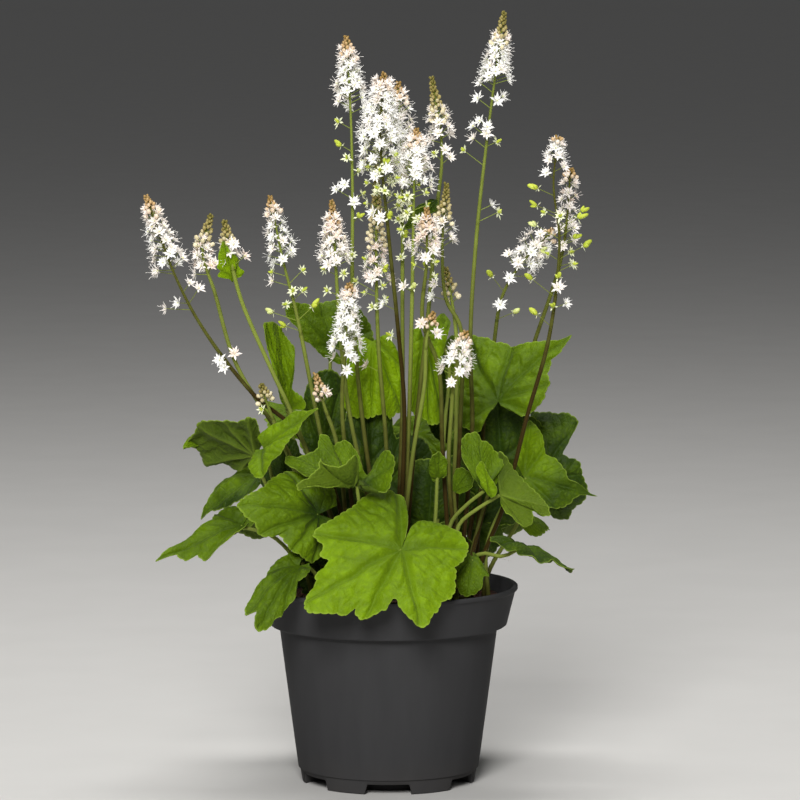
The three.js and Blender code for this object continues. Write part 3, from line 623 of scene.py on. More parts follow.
def leaf_skin(name, young, old, vein_colour, margin, groove, rough, line, ink):
    """Leaf skin: a waxy upper layer over green tissue that lets a little light through. Line and
    ink say how plainly the core and the whole of a vein take their colour"""
    material, tree, shader = new_material(
        name, IOR=1.42, Specular_IOR_Level=0.14, Subsurface_Weight=0.08, Subsurface_Scale=0.6 * MM,
        Subsurface_Radius=(0.6, 1.0, 0.15), Sheen_Weight=0.02, Sheen_Roughness=0.5)
    place = add_node(tree, "TexCoord").outputs["Object"]
    tone = add_node(tree, "Attribute", attribute_name="tone").outputs["Fac"]
    vein_place = add_node(tree, "Attribute", attribute_name="vein").outputs["Vector"]
    flat = add_node(tree, "Attribute", attribute_name="flat").outputs["Vector"]
    split = add_node(tree, "SeparateXYZ", {"Vector": vein_place})
    branch, beside, rim = split.outputs["X"], split.outputs["Y"], split.outputs["Z"]

    along = add_node(tree, "Math", {0: beside, 1: VEIN_SLANT, 2: branch}, operation="MULTIPLY_ADD")
    taper = add_node(tree, "MapRange", {"Value": along, "From Max": 0.9, "To Min": 0.6, "To Max": 2.2})
    thin = add_node(tree, "Math", {0: beside, 1: taper}, operation="MULTIPLY")
    main = add_node(tree, "MapRange", {
        "Value": thin, "From Min": 0.0, "From Max": 0.085, "To Min": 1, "To Max": 0},
        interpolation_type="SMOOTHSTEP")
    core = add_node(tree, "MapRange", {
        "Value": thin, "From Min": 0.004, "From Max": 0.014, "To Min": 1, "To Max": 0},
        interpolation_type="SMOOTHSTEP")

    ridge = add_node(tree, "Math", {0: branch, 1: VEIN_SPACING / 2}, operation="PINGPONG")
    side = add_node(tree, "MapRange", {
        "Value": ridge, "From Min": 0.0, "From Max": 0.045, "To Min": 0.5, "To Max": 0},
        interpolation_type="SMOOTHSTEP")

    bent = add_node(tree, "TexNoise", {"Vector": flat, "Scale": 9, "Detail": 1})
    wavy = add_node(tree, "VectorMath", {
        0: bent.outputs["Color"], 1: (0.07,) * 3, 2: flat}, operation="MULTIPLY_ADD")
    cells = add_node(tree, "TexVoronoi", {"Vector": wavy, "Scale": NET_CELLS}, feature="DISTANCE_TO_EDGE")
    pillow = add_node(tree, "MapRange", {
        "Value": cells, "From Max": 0.4}, interpolation_type="SMOOTHSTEP")
    net = add_node(tree, "Math", {0: pillow, 1: -NET_DEPTH, 2: NET_DEPTH}, operation="MULTIPLY_ADD")
    strong = add_node(tree, "Math", {0: main, 1: side}, operation="MAXIMUM")
    veins = add_node(tree, "Math", {0: strong, 1: net}, operation="MAXIMUM")

    blotch = add_node(tree, "TexNoise", {
        "Vector": place, "Scale": per_metre(16), "Detail": 5, "Roughness": 0.55})
    spread = add_node(tree, "Math", {0: blotch, 1: 0.75, 2: -0.4}, operation="MULTIPLY_ADD")
    # Painted highlight: the swellings between the net veins get a lighter, younger green, as where light
    # catches them. The blotch is the leaf's own uneven tone.
    age = add_node(tree, "Math", {0: pillow, 1: 0.09, 2: spread}, operation="MULTIPLY_ADD")
    # The tone holds painted shade as well as age, so this share carries age and painted light
    youth_and_painted_light = add_node(tree, "Math", {0: tone, 1: age}, operation="ADD", use_clamp=True)
    tissue = add_node(tree, "Mix", {
        SHARE: youth_and_painted_light, FIRST: linear(old), SECOND: linear(young)}, data_type="RGBA")
    inked = add_node(tree, "Math", {0: veins, 1: ink}, operation="MULTIPLY")
    lined = add_node(tree, "Math", {0: core, 1: line, 2: inked}, operation="MULTIPLY_ADD")
    veined = add_node(tree, "Mix", {
        SHARE: lined, FIRST: tissue, SECOND: linear(vein_colour)}, data_type="RGBA")
    # Painted highlight: a thin pale line along the margin, where an edge catches the light
    edge = add_node(tree, "MapRange", {
        "Value": rim, "From Min": 0.972, "From Max": 1.0, "To Min": 0, "To Max": 0.5})
    colour = add_node(tree, "Mix", {SHARE: edge, FIRST: veined, SECOND: linear(margin)}, data_type="RGBA")

    pile = add_node(tree, "TexNoise", {"Vector": place, "Scale": per_metre(1.3), "Detail": 4})
    depth = add_node(tree, "Math", {0: veins, 1: groove, 2: pile}, operation="MULTIPLY_ADD")
    relief = add_node(tree, "Bump", {"Height": depth, "Strength": 0.8, "Distance": 0.6 * MM})
    gloss = add_node(tree, "MapRange", {"Value": blotch, "To Min": rough - 0.08, "To Max": rough + 0.12})
    set_inputs(tree, shader, {"Base Color": colour, "Roughness": gloss, "Normal": relief})
    return material


def mottled_tone(tree, place, grain_mm, detail, change, shift):
    """The tone that the vertices carry, made uneven by a noise with grains of one size"""
    tone = add_node(tree, "Attribute", attribute_name="tone").outputs["Fac"]
    mottle = add_node(tree, "TexNoise", {
        "Vector": place, "Scale": per_metre(grain_mm), "Detail": detail})
    uneven = add_node(tree, "Math", {0: mottle, 1: change, 2: shift}, operation="MULTIPLY_ADD")
    return add_node(tree, "Math", {0: tone, 1: uneven}, operation="ADD", use_clamp=True)


def hairy_stem(name, green, brown):
    """Olive stem skin, brown low down as its own colour and as painted shade, with fine lengthwise ribs"""
    material, tree, shader = new_material(
        name, IOR=1.42, Roughness=0.6, Specular_IOR_Level=0.1, Sheen_Weight=0.01, Sheen_Roughness=0.4,
        Subsurface_Weight=0.1, Subsurface_Scale=1 * MM, Subsurface_Radius=(0.8, 1.0, 0.3))
    place = add_node(tree, "TexCoord").outputs["Object"]
    # The tone carries painted shade low on the stems as well as their own brown
    browning_and_painted_shade = mottled_tone(tree, place, 6, 4, 0.5, -0.25)
    colour = add_node(tree, "Mix", {
        SHARE: browning_and_painted_shade, FIRST: linear(green), SECOND: linear(brown)}, data_type="RGBA")
    ribs_place = add_node(tree, "Mapping", {"Vector": place, "Scale": (1, 1, 0.08)})
    ribs = add_node(tree, "TexNoise", {"Vector": ribs_place, "Scale": per_metre(0.5), "Detail": 2})
    relief = add_node(tree, "Bump", {"Height": ribs, "Strength": 0.4, "Distance": 0.15 * MM})
    set_inputs(tree, shader, {"Base Color": colour, "Normal": relief})
    return material


upper_skin = leaf_skin("leaf_upper_skin", "7b9b04", "253805", "2a4008", "93ab3c",
                       groove=-1.2, rough=0.5, line=0.06, ink=0.3)
under_skin = leaf_skin("leaf_under_skin", "5c7210", "28380a", "6e8228", "93ab3c",
                       groove=1.2, rough=0.62, line=0.3, ink=0.3)
stem_skin = hairy_stem("hairy_stem_skin", "7d8a3a", "35290b")
print("materials", upper_skin.name, under_skin.name, stem_skin.name)

# %% [markdown]
# ## The shape of a leaf
# Five rounded lobes spread like a hand, each edged with scallops. The blade starts as a flat
# grid. Its columns become rays from the petiole and its rows become rings, and a formula sets
# how far each ray reaches. The lobe's arc, the scallops and the notches are all in that one
# formula. Then the blade is bent: the midrib droops, the sides curl, the margin waves, the
# veins sink in, and the tissue swells between them. Last it gets a thickness, so that the
# underside has the same veins as ridges.

# %% The leaf's outline
# angle of the vein, reach of the lobe, how far it spreads before and after its vein, in degrees
LOBES = (
    (-121, 0.6, 47, 31), (-58, 0.83, 32, 29), (0, 1, 29, 29), (58, 0.83, 29, 32), (121, 0.6, 31, 47))
LOBE_ROUNDING = 0.04
NOTCH_DEPTH = 0.17
RAY_WIDTH = 1.05
TOOTH_LENGTH = 4.2
TOOTH_DEPTH = 0.8
TOOTH_ROUNDING = 0.7
SMOOTH_LENGTH = 7
SMALLEST_TURN = 0.3
USUAL_SPAN = (-150, 150)


def usual_edge():
    """The margin of a plain foamflower leaf, as angles and reaches in order"""
    pairs = []
    for vein, reach, before, after in LOBES:
        for offset in range(3 - before, after - 2, 4):
            share = abs(offset) / (before if offset < 0 else after)
            shape = 1 - LOBE_ROUNDING * share ** 2 - NOTCH_DEPTH * share ** 5
            pairs.append((vein + offset, reach * shape))
    return pairs


def notch_at(leaf, length):
    """How far the margin is cut back between two scallops, at a length along it"""
    bulge = abs(math.sin(math.pi * length / TOOTH_LENGTH)) ** TOOTH_ROUNDING
    return leaf.get("tooth", TOOTH_DEPTH) * (1 - bulge)


def rays_of(leaf, size):
    """Even steps along the margin. Each ray gets its angle, its reach without and with teeth"""
    pairs = [(angle, reach / 100) for angle, reach in leaf["edge"]] if "edge" in leaf else usual_edge()
    corners = []
    for angle, reach in pairs:
        turn = math.radians(angle)
        corners.append((reach * math.cos(turn), reach * math.sin(turn), 0))
    curve = Route(corners, steps=5)
    count = round(curve.length * size / leaf.get("ray", RAY_WIDTH))
    angle = pairs[0][0]
    angles, reaches = [], []
    for step in range(count + 1):
        spot = curve.at(step / count)
        turned = math.degrees(math.atan2(spot.y, spot.x)) - angle
        angle += max((turned + 180) % 360 - 180, SMALLEST_TURN if step else 0)
        angles.append(angle)
        reaches.append(spot.length)
    window = round(SMOOTH_LENGTH / RAY_WIDTH)
    rays = []
    for step in range(count + 1):
        near = reaches[max(0, step - window):step + window + 1]
        notch = notch_at(leaf, step * curve.length * size / count) / size
        rays.append((angles[step], sum(near) / len(near), reaches[step] - notch))
    return rays


def folded_rays(leaf, size):
    """The same for a leaf that is too folded for a formula: its margin is a row of places in space"""
    low, high = leaf.get("span", USUAL_SPAN)
    stops = [low + (high - low) * index / (len(leaf["rim"]) - 1) for index in range(len(leaf["rim"]))]
    curve = Route([(*place, stop * MM) for place, stop in zip(leaf["rim"], stops)], steps=6)
    count = round(curve.length / leaf.get("ray", RAY_WIDTH))
    spots = [curve.at(step / count) for step in range(count + 1)]
    rays = []
    for step, spot in enumerate(spots):
        place = spot.to_3d()
        across = spots[min(step + 2, count)].to_3d() - spots[max(step - 2, 0)].to_3d()
        reach = place - Vector(leaf["base"])
        cut = place - reach.normalized() * notch_at(leaf, step * curve.length / count)
        rays.append((spot[3] / MM, place, cut, reach.cross(across).normalized()))
    return rays


print("rays of a plain leaf:", len(rays_of({}, 40)))

# %% The leaf's bends and veins
ALMOST_FLAT = 1e-6
WAVE_HEIGHT, WAVE_COUNT = 0.05, 6.2
FUNNEL_DEPTH, FUNNEL_WIDTH = 0.05, 0.13
GROOVE_DEPTH, GROOVE_WIDTH = 1.2, 2.2
PILLOW_HEIGHT = 0.7
QUILT_HEIGHT, QUILT_SIZE = 1.9, 5.5
SWELL_HEIGHT = 3
CURL_HEIGHT = 3.5
USUAL_SIZE = 45


def blade_point(leaf, size, angle, reach):
    """Bends one point of the flat blade, as far as the leaf droops, cups and folds"""
    tip, cup, side = leaf["bend"]
    turn = math.radians(angle)
    degrees = tip + cup * (1 - math.cos(turn)) / 2 + side * math.sin(turn) ** 2
    bend = math.radians(degrees) * reach + ALMOST_FLAT
    length = size * reach
    out = length * math.sin(bend) / bend
    drop = length * (1 - math.cos(bend)) / bend
    ripple = WAVE_HEIGHT * size * reach ** 3 * math.cos(WAVE_COUNT * turn)
    x = out * math.cos(turn)
    y = out * math.sin(turn) * leaf.get("width", 1)
    fold = math.radians(leaf.get("fold", 0))
    return Vector((x, y * math.cos(fold), ripple - drop + abs(y) * math.sin(fold)))


def dip_of(size, reach):
    """The blade sinks to a small funnel where its petiole joins"""
    return -FUNNEL_DEPTH * size * math.exp(-(reach / FUNNEL_WIDTH) ** 2)


def relief_of(leaf, size, angle, reach, rim, seed):
    """Millimetres up or down from the plain blade, and the point's place along and beside a vein"""
    veins = leaf.get("veins") or [lobe[0] for lobe in LOBES]
    off = min((angle - vein for vein in veins), key=abs)
    turn = math.radians(max(-90, min(90, off)))
    around = math.radians(angle)
    spot = Vector((reach * math.cos(around), reach * math.sin(around), seed * 3.7))
    beside = abs(reach * math.sin(turn) + noise.noise(spot * 5) * 0.05 * reach)
    branch = reach * math.cos(turn) - VEIN_SLANT * beside + noise.noise(spot * 6) * 0.06
    distance = beside * size
    inside = min(1, (1 - rim) * 5)
    groove = -GROOVE_DEPTH * math.exp(-(distance / GROOVE_WIDTH) ** 2) * min(1, reach * 5)
    arch = abs(math.sin(math.pi * branch / VEIN_SPACING)) ** 0.7
    pillow = PILLOW_HEIGHT * arch * min(1, distance / 5) * inside
    bubble = abs(noise.noise(spot * (size / QUILT_SIZE))) * QUILT_HEIGHT
    quilt = bubble * min(1, distance / 4) * (0.3 + 0.7 * inside)
    swell = noise.noise(spot * 3.4) * SWELL_HEIGHT * reach
    curl = noise.noise(spot * 3 + Vector((0, 0, 7))) * leaf.get("curl", CURL_HEIGHT) * rim ** 5
    fine = (groove + pillow + quilt * leaf.get("quilt", 1)) * min(size / USUAL_SIZE, 1.1)
    return fine + swell * min(size / USUAL_SIZE, 1) + curl + dip_of(size, reach), branch, beside


print("funnel of a usual leaf:", round(dip_of(USUAL_SIZE, 0), 2), "mm")

# %% The leaf's blade
BLADE_THICKNESS = 0.38
FOLDED_RELIEF = 0.5
FUNNEL_SHADE, FUNNEL_SHADE_WIDTH = 0.12, 0.22
PETIOLE_DEPTH = 4.7
JUNCTION_STEP, JUNCTION_DROP = 1.2, 0.75


def blade_frame(leaf):
    """The blade's own axes: X along the midrib at its base, Z out of the upper face"""
    base = Vector(leaf["base"])
    chord = Vector(leaf["tip"]) - base
    half = math.radians(leaf["bend"][0]) / 2 + ALMOST_FLAT
    size = chord.length * half / math.sin(half)
    chord.normalize()
    face = Vector(leaf["face"])
    face = (face - chord * face.dot(chord)).normalized()
    ahead = chord * math.cos(half) + face * math.sin(half)
    out = face * math.cos(half) - chord * math.sin(half)
    matrix = Matrix((ahead, out.cross(ahead), out)).transposed().to_4x4()
    return Matrix.Translation(base) @ matrix, size


def blade_tone(leaf, turn, reach):
    """Painted shade: where a leaf lies in the shade, or deep in its funnel, its green is darker"""
    toward, amount = leaf.get("dim", (0, 0))
    shade = amount * max(0, math.cos(turn - math.radians(toward))) * min(1, reach * 2)
    funnel = leaf.get("deep", FUNNEL_SHADE) * math.exp(-(reach / FUNNEL_SHADE_WIDTH) ** 2)
    return leaf["tone"] - shade - funnel


def thicken(bm, known, upward):
    """Keeps the new faces as the upper side of the blade and sinks a copy of them below it"""
    faces = [face for face in bm.faces if face.verts[0] not in known]
    bmesh.ops.recalc_face_normals(bm, faces=faces)
    if sum(face.normal.dot(upward) * face.calc_area() for face in faces) < 0:
        bmesh.ops.reverse_faces(bm, faces=faces)
    bm.normal_update()
    facing = {vert.co.to_tuple(3): vert.normal.copy() for face in faces for vert in face.verts}
    upper = set(faces)
    edges = dict.fromkeys(edge for face in faces for edge in face.edges)
    layer = bmesh.ops.extrude_face_region(bm, geom=[*faces, *edges], use_keep_orig=True)["geom"]
    for vert in layer:
        if isinstance(vert, bmesh.types.BMVert):
            vert.co -= facing[vert.co.to_tuple(3)] * BLADE_THICKNESS
    faces = [face for face in bm.faces if face.verts[0] not in known]
    bmesh.ops.recalc_face_normals(bm, faces=faces)
    for face in faces:
        face.smooth = True
        face.material_index = UPPER if face in upper else UNDER
        for edge in face.edges:
            if len({neighbour in upper for neighbour in edge.link_faces}) == 2:
                edge.smooth = False


def add_blade(bm, leaf, seed):
    """Turns a grid into a bent, veined blade, and tells where its petiole joins it"""
    matrix, size = blade_frame(leaf)
    folded = "rim" in leaf
    rays = folded_rays(leaf, size) if folded else rays_of(leaf, size)
    base = Vector(leaf["base"])
    rings = 26 if size > 50 else 18 if size > 30 else 12
    tone = bm.verts.layers.float["tone"]
    vein, flat = [bm.verts.layers.float_vector[name] for name in ("vein", "flat")]
    known = set(bm.verts)
    bmesh.ops.create_grid(bm, x_segments=rings, y_segments=len(rays) - 1, size=0.5)
    grid = [vert for vert in bm.verts if vert not in known]
    for vert in grid:
        rim = min(max(vert.co.x + 0.5, 0), 1) ** 0.9
        angle, smooth, cut, *normal = rays[round((vert.co.y + 0.5) * (len(rays) - 1))]
        edge = smooth + (cut - smooth) * rim ** 4
        reach = rim * ((edge - base).length / size if folded else edge)
        lift, branch, beside = relief_of(leaf, size, angle, reach, rim, seed)
        turn = math.radians(angle)
        vert[tone] = blade_tone(leaf, turn, reach)
        vert[vein] = (branch, beside, rim)
        vert[flat] = (reach * math.cos(turn), reach * math.sin(turn), seed)
        if folded:
            hollow = leaf.get("hollow", 0) * 4 * rim * (1 - rim)
            vert.co = base.lerp(edge, rim) + normal[0] * (lift * FOLDED_RELIEF * min(1, rim * 3) + hollow)
        else:
            point = blade_point(leaf, size, angle, reach)
            point.z += lift
            vert.co = matrix @ point
    bmesh.ops.remove_doubles(bm, verts=grid, dist=MERGE / 2)
    thicken(bm, known, matrix.to_3x3() @ Vector((0, 0, 1)))
    if folded:
        return base
    return matrix @ Vector((JUNCTION_STEP, 0, dip_of(size, JUNCTION_STEP / size) - JUNCTION_DROP))


def petiole_route(leaf, junction):
    """The petiole starts a little below the top of the peat and ends where the blade begins"""
    x, y = leaf["root"]
    return Route([(x, y, SOIL_TOP - PETIOLE_DEPTH), (x, y, SOIL_TOP + 3), *leaf["via"], junction])


print("blade thickness", BLADE_THICKNESS, "mm")

# %% [markdown]
# ## Hairs
# Stems and petioles are covered in short glandular hairs, which show as a soft fuzz along
# their edges. One tuft is a sleeve of thin spikes round nearly a centimetre of stem, and tufts
# follow each other up the stem.

# %% Hairs
TUFT_LENGTH = 9
HAIR_COUNT = 24
HAIR_RADIUS = 0.06
HAIR_FOOT = 0.7
HAIR_TONE = 0.5


def hair_tuft(seed):
    bm = new_bmesh()
    draw = random.Random(seed)
    layer = bm.verts.layers.float["tone"]
    for step in range(HAIR_COUNT):
        length = draw.uniform(0.7, 1.2)
        hair = bmesh.ops.create_cone(bm, cap_ends=True, segments=3, radius1=HAIR_RADIUS, radius2=0,
                                     depth=length)["verts"]
        height = Matrix.Translation((0, 0, (step + draw.random()) / HAIR_COUNT * TUFT_LENGTH))
        turn = Matrix.Rotation(step * 2.4 + draw.uniform(-0.4, 0.4), 4, "Z")
        lean = Matrix.Rotation(math.radians(90 - draw.uniform(0, 35)), 4, "Y")
        out = Matrix.Translation((0, 0, HAIR_FOOT + length / 2))
        bmesh.ops.transform(bm, matrix=height @ turn @ lean @ out, verts=hair)
        for vert in hair:
            vert[layer] = HAIR_TONE
    return to_mesh(bm, "hair_tuft", [stem_skin])


tufts = [hair_tuft(seed) for seed in range(4)]


def hairs_along(route, low, high, draw):
    """Tufts on a stretch of stem, between two shares of its length"""
    places = []
    share = low
    while share < high:
        place = placed(route.at(share), route.along(share), draw.random() * 6)
        places.append((draw.choice(tufts), place))
        share += TUFT_LENGTH * 0.95 / route.length
    return places


print("tufts:", len(tufts), "with", HAIR_COUNT, "hairs each")
